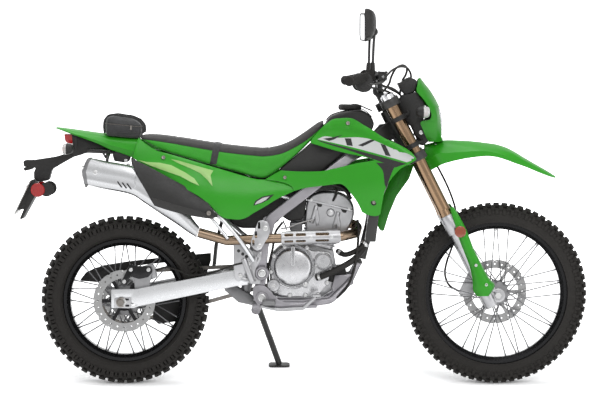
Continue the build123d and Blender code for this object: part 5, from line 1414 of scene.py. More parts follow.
muffler = {"rear": (-133, -130, 827),
           # x, middle height, run and rise of the axis, width, height
           "stations": [(-137, 826, 1, 0.12, 84, 100), (-60, 814, 1, -0.2, 86, 106), (46, 792, 1, -0.3, 85, 105),
                        (110, 752, 0.85, -0.5, 84, 99), (168, 704, 0.76, -0.63, 78, 88),
                        (226, 652, 0.7, -0.7, 62, 66), (262, 617, 0.85, -0.52, 50, 50),
                        (288, 595, 0.95, -0.3, 42, 42)],
           # Half of the section from the top round the outer side to the bottom, as shares of width and height.
           "section": [(0, 0.5), (0.26, 0.492), (0.39, 0.44), (0.45, 0.34), (0.5, 0.03), (0.468, -0.05), (0.5, -0.2),
                       (0.485, -0.32), (0.4, -0.43), (0.24, -0.495), (0, -0.5)],
           # Steps of the end cap: distance along the axis and growth.
           "end": ((0, 0.9), (-1, 1.0), (-3, 1.035), (-13, 1.035), (-15.6, 1.0), (-16.4, 0.93), (-12, 0.88),
                   (-12, 0.3)),
           "hanger": [(-58, -128, 868), (-57, -122, 878), (-55, -104, 888), (-54, -88, 893)]}


def swayed(z):
    # The end's upper half leans forward.
    return Vector((0.62, 0, 0.1)) * max(0, z - 838)


def mufflerBody():
    # The flat-sided can turns into a round pipe at its front.
    rows = []
    for x, z, run, rise, wide, tall in muffler["stations"]:
        ahead = Vector((run, 0, rise)).normalized()
        up = Vector((-ahead.z, 0, ahead.x))
        blend = min(1, max(0, (x - 130) / 120))
        half = []
        for a, b in muffler["section"]:
            turn = atan2(b, a)
            half.append((-(a * (1 - blend) + 0.5 * cos(turn) * blend) * wide,
                         (b * (1 - blend) + 0.5 * sin(turn) * blend) * tall))
        y0 = -130 + 14 * max(0, (x - 100) / 188)
        rows.append([Vector((x, y0 + y, z)) + up * away for y, away in fullLoop(half)])
    body = cleaned(skin("mufflerBody", flowRows(rows, 5), True, capped=True))
    for vert in body.data.vertices:
        if vert.co.x < -60 and vert.co.z > 838:
            vert.co += swayed(vert.co.z) * min(1, (-60 - vert.co.x) / 70)
    return dressed(body, "silencerMetal")


def mufflerEnd(back):
    up = Vector((-back.z, 0, back.x))
    rows = []
    for along, grow in muffler["end"]:
        half = [(-a * 84 * grow, b * 101 * grow) for a, b in muffler["section"]]
        spots = [Vector(muffler["rear"]) + Vector((0, y, 0)) + back * along + up * z for y, z in fullLoop(half)]
        rows.append([spot + swayed(spot.z) for spot in spots])
    return dressed(cleaned(skin("mufflerEnd", rows, True)), "darkCast")


def mufflerParts():
    back = Vector((1, 0, 0.12)).normalized()
    rear = Vector(muffler["rear"])
    # Dark slanted insets on the can's side: painted shade standing in for recessed slots.
    slots = [plate("slot", [(x - 2, z), (x + 4, z), (x + 20, z - 23), (x + 14, z - 23)], -174.4, -165, 2.4, 0.4,
                   "rimBlack") for x, z in ((-16, 792), (2, 788.4), (20, 784.8))]
    ring = [(52 + 1.5 * sin(t), -130 - 43.6 * cos(t), 786 + 50 * sin(t)) for t in [(k - 4) * pi / 8 for k in range(9)]]
    bolts = [((-100, -171.5, 827), (0, -1, 0), 1.1), ((-138, -136, 774), (0, -0.2, -1), 0.9)]
    return [mufflerBody(), *slots, mufflerEnd(back),
            lathed("outlet", [(19, 26), (19, -19), (22, -21), (24.5, -19), (24.5, -4), (19, 26)], rear, back, 40,
                   "boltSteel"),
            lathed("baffle", [(0, 0), (20, 0)], rear + back * 20, back, 24, "blackPaint"),
            tubing("weldRing", ring, 2.2, "silencerMetal", 8), spotted("mufflerBolts", boltUnit, bolts),
            tubing("mufflerHanger", muffler["hanger"], 6, "blackPaint", 10)]


drawnFor("silencerCan", "silencer", mufflerParts(), smooth=30)

# Slots: rows of height over the pipe's middle and slot height, then places and lengths along the pipe.
guardBar = {"radius": 31, "wall": 1.8, "rows": ((13, 11), (-12, 9)), "slots": ((636, 34), (682, 38), (764, 52)),
            "outline": ((606, 26), (640, 28), (832, 27), (836, -20), (822, -27), (610, -25)), "clamps": (612, 806)}


def pipeHeight(x):
    return 571 + (x - 560) * 0.031


def guardWidth(x, z):
    return 127 + sqrt(max(4, guardBar["radius"] ** 2 - (z - pipeHeight(x)) ** 2))


guardHoles = []
for up, tall in guardBar["rows"]:
    for x, long in guardBar["slots"]:
        z = pipeHeight(x) + up
        guardHoles.append(rounded([(x - long / 2, z - tall / 2), (x + long / 2, z - tall / 2 + 1),
                                   (x + long / 2, z + tall / 2 + 1), (x - long / 2, z + tall / 2)], 4.4))
guardOutline = rounded([(x, pipeHeight(x) + up) for x, up in guardBar["outline"]], 8)
guardParts = [panel("slottedGuard", guardOutline, guardWidth, "castAlloy", guardBar["wall"], step=5, holes=guardHoles,
                    edge=0.4),
              spotted("guardScrews2", boltUnit, [((x, -158.4, pipeHeight(x) + 1), (0, -1, 0), 0.8)
                                                 for x in (722, 800)])]
for x in guardBar["clamps"]:
    ring = [Vector((x, -127 + a, pipeHeight(x) + b)) for a, b in circle(22, 32)]
    guardParts.append(swept("pipeClamp", ring, oblong(4, 1), "boltSteel", closed=True))
drawnFor("exhaustGuards", "exhaust_guards", [*guardParts, shieldPiece], smooth=34)
print("stage: tank and exhaust")

# CAD pieces drawn again with eased edges: node, edge radius, finish.
easedNodes = (
    ("crankcase", 3.0, "caseAlloy"), ("cylinder", 1.2, "castAlloy"), ("frame_spars", 1.2, "sparPaint"),
    ("lower_frame", 1.0, "sparPaint"), ("rear_disc", 0, "discSteel"), ("front_disc", 0, "discSteel"),
    ("swingarm", 2.0, "swingAlloy"), ("radiator", 1.5, "blackPaint"), ("subframe", 0.8, "swingAlloy"),
    ("foot_pegs", 2.0, "darkCast"), ("foot_controls", 0.9, "castAlloy"), ("rear_suspension", 1.2, "darkCast"),
    ("rear_caliper", 2.0, "caseAlloy"), ("front_caliper", 2.0, "castAlloy"), ("triple_clamps", 1.6, "clampPaint"),
    ("fork_sliders", 1.4, "castAlloy"), ("side_stand", 1.2, "blackPaint"), ("wheel_guards", 1.0, "blackPlastic"),
    ("rear_hub", 0.9, "darkCast"), ("front_hub", 0.9, "darkCast"))

# Parts painted in two colours: the other finish, and where it lies.
secondPaint = {
    "frame_spars": ("blackPaint", lambda spot: spot.x > 905 and spot.z > 815),
    "lower_frame": ("blackPaint", lambda spot: spot.z > 468),
    "subframe": ("blackPaint", lambda spot: spot.x < 4),
    "rear_disc": ("rimBlack", lambda spot: hypot(spot.x - rearAxle.x, spot.z - rearAxle.z) < 87)}


def eased(node, width, finish):
    piece = linked(node + "Eased", frame["nodes"][node].data.copy())
    piece.data.transform(fromRow)
    with meshWork(piece) as work:
        bmesh.ops.remove_doubles(work, verts=work.verts, dist=0.02)
    if width:
        bevelled(piece, width, 2, 38, use_clamp_overlap=False, loop_slide=True)
    other, lies = secondPaint.get(node, (None, None))
    dressed(piece, finish, other)
    if other:
        for face in piece.data.polygons:
            face.material_index = 1 if lies(face.center) else 0
    drawnFor(piece.name, node, [piece], body=frame["nodes"][node].parent.name.split(":")[-1])


for node, width, finish in easedNodes:
    eased(node, width, finish)
print("stage: eased castings", len(easedNodes))

right, left, upwards = (0, -1, 0), (0, 1, 0), (0, 0, 1)
# The joint is the line between barrel and head; the others are places of notches, ribs and bolts.
head = {"outline": [(712, 566), (701, 604), (699, 642), (704, 700), (711, 722), (727, 737), (760, 747), (808, 748),
                    (848, 738), (874, 717), (887, 692), (888, 656), (874, 618), (858, 588), (846, 566)],
        "half": 64, "joint": ((703, 715), (888, 671)), "notches": ((753, 703), (848, 680)),
        "ribs": ((746, 648), (828, 624)), "boss": (797, 667), "bolts": ((722, 716), (868, 681)),
        "lead": [(806, -60, 712), (818, -78, 742), (812, -70, 772), (770, -50, 792)]}


def headParts():
    half = head["half"]
    (jx, jz), (kx, kz) = head["joint"]
    turn = Matrix.Rotation(atan2(jz - kz, kx - jx), 3, "Y")
    parts = [plate("headBody", head["outline"], -half, half, 14, 9, "castAlloy", 4),
             block("headFlange", ((jx + kx) / 2 - 2, 0, (jz + kz) / 2 + 3), (184, 2 * half + 8, 9), 2.5, "castAlloy",
                   turn, 3)]
    # Each notch is a dark plate on the head's side: painted shade.
    for x, z in head["notches"]:
        outline = [(x - 13, z + 3), (x + 13, z - 3), (x + 9, z - 15), (x - 5, z - 13)]
        parts.append(plate("headNotch", outline, -half - 1.6, -half + 6, 6, 1.2, "blackPlastic"))
    for x, z in head["ribs"]:
        outline = [(x - 8, z + 28), (x + 2, z + 30), (x + 9, z - 4), (x + 4, z - 32), (x - 5, z - 30), (x - 10, z)]
        parts.append(plate("headRib", outline, -half - 5, -half + 4, 6, 3.4, "castAlloy", 3))
    x, z = head["boss"]
    parts.append(lathed("headBoss", [(16, 8), (16, -3), (13, -6), (0, -6)], (x, -half, z), left, 28, "castAlloy"))
    parts.append(spotted("headBolts", boltUnit, [((x, -half - 6, z), right, 1.0)]
                         + [((x, -half - 4.4, z), right, 0.7) for x, z in head["bolts"]]))
    parts.append(tubing("plugLead", head["lead"], 5, "hoseRubber", 10))
    return parts


drawnFor("headCasting", "cylinder", headParts(), replaces=False)

clutchAt, filterAt, pumpAt, plugAt, magnetoAt = (652, 460), (768, 482), (577, 388), (700, 392), (735, 430)
cover = {"face": -90,
         "outline": [(574, 376), (592, 352), (640, 344), (744, 344), (784, 392), (796, 440), (808, 476), (796, 514),
                     (768, 520), (724, 520), (700, 536), (652, 546), (600, 528), (572, 488), (566, 440)],
         "bolts": [(580, 500), (568, 440), (585, 366), (640, 350), (700, 350), (748, 352), (783, 398), (797, 446),
                   (706, 532), (620, 536)],
         # name, middle, steps, profile
         "turned": [("clutchDome", clutchAt, 96, [(82, 30), (82, 6), (80.5, 2), (77, -1), (75, -1), (74, -8),
                                                  (71.5, -16), (66, -22.5), (58, -25.5), (0, -26.6)]),
                    ("coverRing", clutchAt, 96, [(83.5, 3), (86, 1.5), (86, -3), (83.5, -4.5), (80, -3)]),
                    ("filterCap", filterAt, 56, [(34, 10), (34, -6), (31, -9), (29, -9), (28.4, -14), (26.5, -16),
                                                 (0, -16.4)]),
                    ("pumpCover", pumpAt, 40, [(25, 8), (25, -8), (22, -11), (15, -11.6), (14, -15), (0, -15.4)]),
                    ("oilPlug", plugAt, 24, [(13, 4), (13, -5), (10.5, -7), (0, -7)])]}


def aroundSpots(centre, radius, turns):
    return [(centre[0] + radius * cos(turn), centre[1] + radius * sin(turn)) for turn in turns]


def coverParts():
    # The clutch cover with its caps on the right, and the magneto cover on the left.
    face = cover["face"]
    parts = [plate("coverPlate", cover["outline"], face, -56.4, 16, 3.2, "coverAlloy", 3)]
    for name, (x, z), steps, profile in cover["turned"]:
        parts.append(lathed(name, profile, (x, face, z), left, steps, "coverAlloy", closed=name == "coverRing"))
    x, z = magnetoAt
    parts.append(lathed("magnetoCover", [(68, -30), (68, -8), (65, -2), (60, 0), (58, 8), (52, 14), (0, 16)],
                        (x, 88, z), left, 80, "coverAlloy"))
    parts.append(lathed("magnetoRing", [(40, 14), (43, 17), (47, 17), (49, 13)], (x, 88, z), left, 64, "coverAlloy"))
    parts += [lathed("boss", [(9.6, 20), (9.6, -3.4), (8, -5), (0, -5)], (x, face + 2, z), left, 18, "coverAlloy")
              for x, z in cover["bolts"]]
    x, z = clutchAt
    parts.append(plate("coverRib", [(x - 7, z + 4), (x + 7, z + 4), (x + 8, z + 81), (x - 8, z + 81)], -118.4, -96, 6,
                       1.8, "coverAlloy", 3))
    # A dark strip down the rib is painted shade standing in for a groove.
    parts.append(plate("coverGroove", [(x - 2, z + 8), (x + 2, z + 8), (x + 2.4, z + 76), (x - 2.4, z + 76)], -118.9,
                       -118, 1.5, 0.2, "darkCast"))
    screws = [((x, -93, z), right, 0.72) for x, z in cover["bolts"]]
    screws += [((x, -97, z), right, 0.6) for x, z in aroundSpots(filterAt, 30, (pi / 2, pi * 7 / 6, pi * 11 / 6))]
    screws += [((pumpAt[0], -105, pumpAt[1]), right, 0.8), ((plugAt[0], -97, plugAt[1]), right, 0.9)]
    parts.append(spotted("coverScrews", boltUnit, screws))
    bolts = aroundSpots(magnetoAt, 62, [k * pi / 3 + 0.3 for k in range(6)])
    parts.append(spotted("magnetoBolts", boltUnit, [((x, 87, z), left, 0.7) for x, z in bolts]))
    return parts


drawnFor("engineCovers", "engine_covers", coverParts(), smooth=34)

airBox = [(592, 738), (604, 656), (640, 632), (692, 640), (704, 700), (700, 744), (650, 752)]
throttle = [(20, -34), (26, -30), (26, -16), (30, -14), (30, 6), (25, 8), (25, 22), (29, 24), (29, 34), (22, 36)]
boot = [(24, -26), (27, -24), (27, -14), (23, -12), (27, -8), (23, -4), (27, 0), (23, 4), (24, 12)]
spring = [Vector((612 + t * 0.42, -66 - 11 * cos(t * 0.78), 640 - t + 4.4 * sin(t * 0.78))) for t in range(44)]
drawnFor("intake", "air_box", [
    plate("airBoxShell", airBox, -64, 64, 14, 6, "blackPlastic", 3),
    lathed("throttleBody", throttle, (676, -8, 640), (0.93, 0, 0.2), 36, "darkCast"),
    lathed("intakeBoot", boot, (706, -6, 652), (0.95, 0, 0.1), 36, "hoseRubber"),
    block("bowl", (664, -20, 612), (50, 62, 34), 6, "darkCast", None, 3),
    tubing("linkRod", [(606, -66, 604), (640, -70, 612), (676, -74, 626), (728, -78, 640)], 3.4, "boltSteel", 8),
    swept("returnSpring", spring, circle(1.8, 6), "boltSteel")])
print("stage: engine")

# Hoses and leads on the engine and the frame: name, radius and route. A clip holds each end of a wide one.
hoseRuns = (
    ("lowerCoolantHose", 12, [(742, -104, 418), (776, -116, 430), (830, -112, 456), (880, -100, 484), (918, -84, 522),
                              (934, -80, 560)]),
    ("upperCoolantHose", 10, [(822, -62, 520), (850, -80, 506), (884, -88, 516), (914, -88, 536), (936, -84, 560)]),
    ("overflowHose", 5, [(900, -84, 640), (904, -100, 600), (898, -108, 520), (884, -104, 440), (858, -96, 380),
                         (820, -94, 340)]),
    ("breatherHose", 7, [(700, -70, 742), (740, -76, 768), (800, -78, 776), (850, -76, 756), (876, -78, 720)]),
    ("wiringTop", 6, [(650, -72, 752), (700, -80, 764), (760, -82, 782), (830, -80, 786), (880, -78, 764)]),
    ("drainHose", 4.5, [(612, -70, 630), (584, -78, 590), (574, -84, 530), (560, -88, 470), (556, -84, 400),
                        (560, -80, 350)]),
    ("clutchCable", 3.2, [(972, 74, 900), (952, 84, 870), (926, 92, 830), (880, 96, 740), (800, 92, 640),
                          (730, 88, 560)]))
for name, radius, route in hoseRuns:
    pieces = [tubing(name, route, radius, "hoseRubber", 14, 7)]
    if radius >= 10:
        dense = flowLine(route, 7)
        clip = [(radius + 0.4, -5), (radius + 2, -5), (radius + 2, 5), (radius + 0.4, 5)]
        pieces += [lathed("hoseClip", clip, spot, ahead - spot, 28, "boltSteel", closed=True)
                   for spot, ahead in ((dense[3], dense[4]), (dense[-4], dense[-3]))]
    settled(joined(name, pieces), "chassis", [], 50)

# The slotted plate behind the engine, and the other plates, stays and bolts of the frame's right side.
slotPlate = {"outline": [(520, 641), (534, 644), (556, 638), (566, 604), (558, 578), (546, 560), (530, 532), (512, 526),
                         (491, 548), (494, 572), (506, 604)],
             "slots": ((524, 623), (512, 588), (502, 556)), "bolts": ((547, 613), (524, 544)), "y": -160}
cradle = [(498, 386), (520, 393), (546, 388), (566, 370), (580, 350), (598, 334), (640, 318), (742, 316), (746, 304),
          (660, 299), (620, 296), (560, 297), (530, 304), (510, 322), (498, 350)]
# x, z, radius
pivots = ((533, 437, 22), (533, 343, 20))
pegStays = (([(352, -136, 668), (392, -150, 636), (446, -158, 572), (478, -150, 524), (500, -134, 486)], 8),
            ([(340, -134, 650), (372, -142, 612), (404, -148, 572)], 6.5))
stay = {"outline": [(424, 560), (446, 566), (470, 548), (500, 520), (500, 486), (470, 440), (446, 404), (430, 412),
                    (424, 470)],
        "holes": ((444, 524), (460, 512), (474, 502)), "bolts": ((482, 476, 1.4), (486, 458, 1.2), (450, 430, 1.4))}
# Battery tray, filter duct and the wiring over the head, seen dark between the rails: outline, half width, edge.
trays = (([(392, 800), (392, 700), (412, 628), (450, 606), (560, 606), (604, 640), (610, 800)], 62, 8),
         ([(600, 800), (606, 742), (700, 742), (800, 752), (880, 742), (904, 760), (890, 800)], 58, 6),
         ([(756, 452), (760, 404), (812, 396), (856, 402), (858, 446), (840, 458)], 62, 5))


def slottedPlate():
    y = slotPlate["y"]
    holes = [rounded([(x - 5, z + 14), (x + 3, z + 14), (x + 4, z - 12), (x - 6, z - 12)], 3.5)
             for x, z in slotPlate["slots"]]
    parts = [panel("slottedPlate", rounded(slotPlate["outline"], 8), lambda x, z: -y, "castAlloy", 3, step=40,
                   holes=holes, edge=0.7)]
    parts += [lathed("standOff", [(8, 0), (8, 53)], (x, y + 1, z), left, 20, "castAlloy")
              for x, z in slotPlate["bolts"]]
    parts.append(spotted("slotBolts", boltUnit, [((x, y - 0.4, z), right, 1.25) for x, z in slotPlate["bolts"]]))
    return parts


def pivotParts(x, z, radius):
    ring = [(radius + 5, 12), (radius + 5, -2), (radius + 2, -5), (radius - 4, -5), (radius - 6, -1), (12, -1),
            (12, 12)]
    return [lathed("pivotRing", ring, (x, -121, z), left, 48, "sparPaint", closed=True),
            lathed("ringShade", [(0, 0), (radius - 5, 0)], (x, -122.4, z), left, 40, "blackPaint"),
            spotted("pivotNut", boltUnit, [((x, -122, z), right, 1.9)])]


sidePlates = slottedPlate()
sidePlates.append(plate("cradlePlate", cradle, -118, -110, 10, 2, "sparPaint", 3))
for pivot in pivots:
    sidePlates += pivotParts(*pivot)
sidePlates += [tubing("pegStay", route, radius, "swingAlloy", 16, 5) for route, radius in pegStays]
sidePlates.append(plate("stayBracket", stay["outline"], -128, -122, 9, 1.2, "castAlloy"))
# Dark discs on the bracket stand in for its holes: painted shade.
sidePlates += [lathed("stayHole", [(0, 0), (5.5, 0), (6.4, 0.6)], (x, -128.6, z), left, 20, "blackPaint")
               for x, z in stay["holes"]]
sidePlates.append(spotted("stayBolts", capUnit, [((x, -128, z), right, growth) for x, z, growth in stay["bolts"]]))
sidePlates += [plate("tray", outline, -half, half, 12, edge, "blackPlastic", 3) for outline, half, edge in trays]
drawnFor("rightPlates", "frame_spars", sidePlates, replaces=False)
print("stage: plates and hoses")

# The left half of the handlebar; handed() gives its twin.
bar = {"end": (861, 400, 1174), "grip": (939, 252, 1191), "start": (924, 291.5, 1187), "bend": (972, 150, 1197),
       "perch": (956, 205, 1193), "pivot": (978, 226, 1184)}


def ribbedGrip(hand):
    start, end = handed(bar["grip"], hand), handed(bar["end"], hand)
    length = (end - start).length
    profile = [(11.3, 0), (25, 0), (26, 1.5), (25.4, 4), (17.5, 7)]
    along = 10
    while along < length - 8:
        profile += [(17.2, along), (17.2, along + 2.2), (16.2, along + 2.8), (16.2, along + 4.2)]
        along += 4.8
    profile += [(17.2, length - 6), (18.6, length - 3), (19, length + 2), (17.5, length + 5), (0, length + 6)]
    return lathed("grip", profile, start, end - start, 36, "gripRubber")


drawnFor("gripPair", "grips", [ribbedGrip(1), ribbedGrip(-1)], smooth=30, body="steering")

control = {"housing": [(884, 1170), (886, 1186), (894, 1198), (908, 1204), (928, 1203), (944, 1196), (952, 1182),
                       (952, 1160), (946, 1144), (934, 1134), (914, 1131), (898, 1136), (888, 1150)],
           "middle": (919, 1168), "lidShare": 0.62, "screws": ((902, 1193), (946, 1160)),
           "lever": [(978, 222, 1186), (992, 250, 1176), (986, 300, 1170), (962, 350, 1164), (936, 392, 1162)],
           "cup": [(973, 1181), (979, 1176), (1003, 1176), (1006, 1184), (1005, 1205), (975, 1205)],
           "cupLid": [(971, 1203), (1008, 1203), (1008, 1210), (971, 1210)],
           # Cables and leads from the bar to the lamps, with their radii.
           "leads": (
               ([(960, -262, 1170), (990, -220, 1158), (1030, -120, 1140), (1064, -60, 1120), (1082, -40, 1084)], 4.2),
               ([(946, -262, 1150), (980, -200, 1142), (1020, -110, 1130), (1048, -70, 1100), (1062, -50, 1050),
                 (1064, -40, 1000)], 4.2),
               ([(960, 262, 1168), (996, 214, 1152), (1036, 130, 1146), (1066, 70, 1124), (1082, 44, 1088)], 4.2),
               ([(1000, 40, 1130), (1024, 40, 1160), (1034, 42, 1190), (1052, 44, 1222), (1078, 44, 1234),
                 (1094, 42, 1222), (1090, 38, 1198), (1076, 34, 1172), (1066, 30, 1120)], 4.4))}


def controlSet(hand):
    # Switch or throttle housing, clamp, perch and lever at one end of the bar.
    low, high = (-292, -262) if hand < 0 else (262, 292)
    lidLow = low - 2.4 if hand < 0 else high - 4.4
    share, (midX, midZ) = control["lidShare"], control["middle"]
    lid = [(x * share + midX * (1 - share), z * share + midZ * (1 - share)) for x, z in control["housing"]]
    perch, pivot = handed(bar["perch"], hand), handed(bar["pivot"], hand)
    way = handed(bar["bend"], hand) - handed(bar["start"], hand)
    arm = swept("perchArm", flowLine([perch, perch + Vector((14, 8 * hand, -6)), pivot], 4), oblong(9, 8),
                "blackPlastic", scales=[1.0 - 0.03 * k for k in range(9)])
    route = flowLine([handed(point, hand) for point in control["lever"]], 6)
    thin = [1.5 - 0.03 * k for k in range(len(route) - 3)] + [1.0, 1.5, 1.3]
    return [plate("housing", control["housing"], low, high, 8, 6, "blackPlastic", 4),
            plate("housingLid", lid, lidLow, lidLow + 6.4, 6, 1.2, "blackPlastic"),
            spotted("housingScrews", capUnit, [((x, low - 1, z), right, 0.6) for x, z in control["screws"]]),
            lathed("perchClamp", [(11.5, -12), (19, -12), (20, -10), (20, 10), (19, 12), (11.5, 12)], perch, way, 28,
                   "blackPlastic", closed=True),
            bevelled(arm, 2.4, 2, 40), swept("lever", route, circle(5, 12, 3.6), "clampPaint", scales=thin),
            spotted("pivotScrew", boltUnit, [(pivot + Vector((0, 0, 7)), upwards, 0.8)])]


lidScrews = [((x, y, 1209.6), upwards, 0.6) for x in (976, 1003) for y in (-270, -241)]
controls = controlSet(-1) + controlSet(1) + [
    plate("reservoirCup", control["cup"], -273, -238, 4, 2.5, "blackPlastic", 3),
    plate("reservoirLid", control["cupLid"], -276, -235, 2.5, 1.2, "blackPlastic"),
    lathed("sightGlass", [(5, 0), (5, -1.6), (3.8, -2), (0, -2)], (990, -273, 1190), left, 20, "clearLens"),
    lathed("banjo", [(0, -5), (8, -5), (8, 5), (0, 5)], (1003, -248, 1183), (1, 0, 0.2), 20, "boltSteel"),
    spotted("lidScrews", capUnit, lidScrews)]
controls += [tubing("lead", route, radius, "hoseRubber", 12, 7) for route, radius in control["leads"]]
drawnFor("barControls", "hand_controls", controls, body="steering")

mirror = {"centre": (944, 300, 1386), "foot": (951, 250, 1200), "turn": 7,
          # x, half across, half tall, shift up: from the glass rim over the shell to its back.
          "rows": [(926, 68, 55, 0), (930, 71, 58, 0), (940, 69, 57, 0), (950, 62, 51, 1), (958, 46, 38, 0),
                   (962, 26, 20, -2), (963, 6, 5, -3)],
          "outline": [(-1, -0.86), (-0.86, -1), (0.8, -0.9), (1, -0.5), (0.96, 0.8), (0.8, 1), (-0.8, 0.94), (-1, 0.7)],
          # x and growth of the glass's border, from the rim inwards.
          "lip": ((926.4, 1.0), (926.4, 0.965), (928, 0.94))}


def mirrorHead(hand):
    centre = handed(mirror["centre"], hand)
    x0, y0, z0 = centre
    rows = []
    for x, across, tall, up in mirror["rows"]:
        loop = rounded([(a * across, b * tall) for a, b in mirror["outline"]], 24)
        rows.append([Vector((x, y0 + p.x * hand, z0 + p.y + up)) for p in loop])
    back = [Vector((963.4, y0, z0 - 3))] * len(rows[0])
    lip = [[Vector((x, y0 + (p.y - y0) * share, z0 + (p.z - z0) * share)) for p in rows[0]]
           for x, share in mirror["lip"]]
    turned = [dressed(cleaned(skin("mirrorShell", [*rows, back], True)), "blackPlastic"),
              dressed(facing(skin("mirrorRim", lip, True), (-1, 0, 0)), "blackPlastic"),
              dressed(facing(newPiece("mirrorGlass", lip[-1], [tuple(range(len(lip[-1])))]), (-1, 0, 0)),
                      "mirrorGlass")]
    turn = Matrix.Rotation(radians(mirror["turn"] * hand), 4, "Z")
    for piece in turned:
        piece.data.transform(Matrix.Translation(centre) @ turn @ Matrix.Translation(-centre))
    foot = handed(mirror["foot"], hand)
    stem = [foot, foot + Vector((2, 2 * hand, 50)), foot + Vector((4, 22 * hand, 110)), handed((958, 292, 1352), hand)]
    ball = [(0, -14), (8, -12), (12, -6), (13, 0), (11, 8), (7, 13), (0, 14)]
    boot = [(6, 44), (8.5, 42), (9.5, 30), (10.4, 12), (11.4, 4), (11.4, 0), (0, 0)]
    return [*turned, tubing("mirrorStem", stem, 5.2, "barBlack", 14, 6),
            lathed("mirrorBall", ball, handed((958, 293, 1358), hand), upwards, 24, "blackPlastic"),
            lathed("mirrorBoot", boot, foot, (0.02, 0.03 * hand, 1), 24, "hoseRubber"),
            spotted("mirrorNut", boltUnit, [(foot + Vector((0, 0, -6)), upwards, 1.8)])]


drawnFor("mirrorPair", "mirrors", mirrorHead(1) + mirrorHead(-1), smooth=40, body="steering")

gauge = {"outline": [(1057, 1160), (1076, 1172), (1091, 1181), (1102, 1190), (1111, 1184), (1121, 1181), (1128, 1174),
                     (1130, 1164), (1125, 1146), (1120, 1132), (1097, 1122), (1085, 1119), (1066, 1140)],
         "half": 56, "middle": (1076, 0, 1174), "normal": (-0.55, 0, 0.835), "along": (0.835, 0, 0.55),
         "stay": [(1062, 1092), (1080, 1086), (1108, 1124), (1088, 1136)], "bars": 11, "digits": 3,
         # Strokes of a digit: shift across, shift along, width, length.
         "strokes": ((0, 0, 6, 1.4), (0, -7, 6, 1.4), (0, -14, 6, 1.4), (-3.6, -3.5, 1.4, 6), (3.6, -3.5, 1.4, 6),
                     (-3.6, -10.5, 1.4, 6), (3.6, -10.5, 1.4, 6))}
faceNormal = Vector(gauge["normal"]).normalized()


def faceSheet(name, wide, long, lift, finish, shift=(0, 0)):
    # A thin rounded shape on the meter's face.
    outline = rounded([(a + shift[0], b + shift[1]) for a, b in oblong(wide / 2, long / 2)], min(wide, long) * 0.16)
    along = Vector(gauge["along"]).normalized()
    spots = [Vector(gauge["middle"]) + Vector((0, p.x, 0)) + along * p.y + faceNormal * lift for p in outline]
    return dressed(facing(newPiece(name, spots, [tuple(range(len(spots)))]), faceNormal), finish)


def gaugeParts():
    half = gauge["half"]
    parts = [plate("gaugeBody", gauge["outline"], -half, half, 6, 4, "blackPlastic", 3),
             faceSheet("gaugeRim", 98, 40, 0.6, "blackPaint"), faceSheet("gaugeGlass", 84, 30, 1.0, "screenGlass")]
    parts += [faceSheet("gaugeBar", 4, 5 + k * 0.5, 1.3, "screenInk", (-34 + k * 6.8, 8)) for k in range(gauge["bars"])]
    for k in range(gauge["digits"]):
        parts += [faceSheet("gaugeDigit", wide, long, 1.3, "screenInk", (-10 + k * 14 + across, 2 + along * 0.86))
                  for across, along, wide, long in gauge["strokes"]]
    buttons = [((1060, y, 1161), faceNormal, 0.9) for y in (-36, 36)]
    return parts + [spotted("gaugeButtons", capUnit, buttons, "blackPlastic")] + [
        plate("gaugeStay", gauge["stay"], y - 2, y + 2, 4, 0, "blackPaint") for y in (32, -32)]


drawnFor("meterHousing", "meter", gaugeParts(), body="steering")

# The lamp cowl's sides, its shelf and cross bar, and the rubber bands that hold it to the fork.
cowl = {"outline": [(1058, 1092), (1070, 1056), (1086, 1022), (1098, 1003), (1108, 1001), (1132, 950), (1134, 930),
                    (1152, 924), (1176, 944), (1166, 972), (1152, 1018), (1156, 1062), (1158, 1086), (1126, 1132),
                    (1100, 1124), (1078, 1120), (1062, 1104)], "bolt": (1144, 976),
        "stations": [(1060, [(60, 1120), (62, 1050), (64, 1000), (60, 930)]),
                     (1110, [(66, 1120), (78, 1060), (74, 1000), (64, 930)]),
                     (1176, [(72, 1120), (88, 1060), (80, 1000), (62, 930)])],
        # Down the steering axis, then where the band's arm meets the cowl.
        "bands": ((-34, 1090, 1060), (-150, 1124, 968))}
legs = {"forward": 24, "apart": 97}


def onLeg(along, hand):
    # A spot on a fork leg's middle line, along the steering axis from the head point.
    return headPoint + steerUp * along + steerFore * legs["forward"] + Vector((0, legs["apart"] * hand, 0))


def bandParts(hand, drop, x, z):
    spot = onLeg(drop, hand)
    band = [(25.4, -9), (30, -9), (31.5, -6), (31.5, 6), (30, 9), (25.4, 9)]
    arm = [spot + steerFore * 28, spot + steerFore * 44 + Vector((0, -14 * hand, 0)), Vector((x, 66 * hand, z))]
    return [lathed("forkBand", band, spot, steerUp, 40, "blackPlastic", closed=True),
            tubing("bandArm", arm, 5, "blackPlastic", 10)]


cowlWidth = bodySide(cowl["stations"])
boltX, boltZ = cowl["bolt"]
cowlBolt = spotted("cowlBolt", boltUnit, [((boltX, -cowlWidth(boltX, boltZ) - 0.2, boltZ), right, 1.0)])
cowlRight = panel("cowlSide", rounded(cowl["outline"], 6), cowlWidth, "blackPlastic", 4, step=14, edge=1.2)
cowlParts = [bothSides("cowlSides", [cowlRight, cowlBolt]),
             block("cowlShelf", (1104, 0, 1092), (64, 116, 5), 1.5, "blackPlastic",
                   Matrix.Rotation(radians(-28), 3, "Y")),
             tubing("cowlCross", [(1128, -66, 1040), (1128, 0, 1044), (1128, 66, 1040)], 9, "blackPlastic", 14)]
for hand in (1, -1):
    for band in cowl["bands"]:
        cowlParts += bandParts(hand, *band)
legCap = [(26.4, -26), (26.4, 20), (25, 24), (20, 25), (18, 29), (9, 29), (8, 26), (0, 26)]
legCaps = [lathed("forkCap", legCap, onLeg(44, hand), steerUp, 40, "chrome") for hand in (1, -1)]
drawnFor("forkTops", "triple_clamps", legCaps, replaces=False, body="steering")
drawnFor("lampCowl", "headlight_bracket", cowlParts, body="steering")

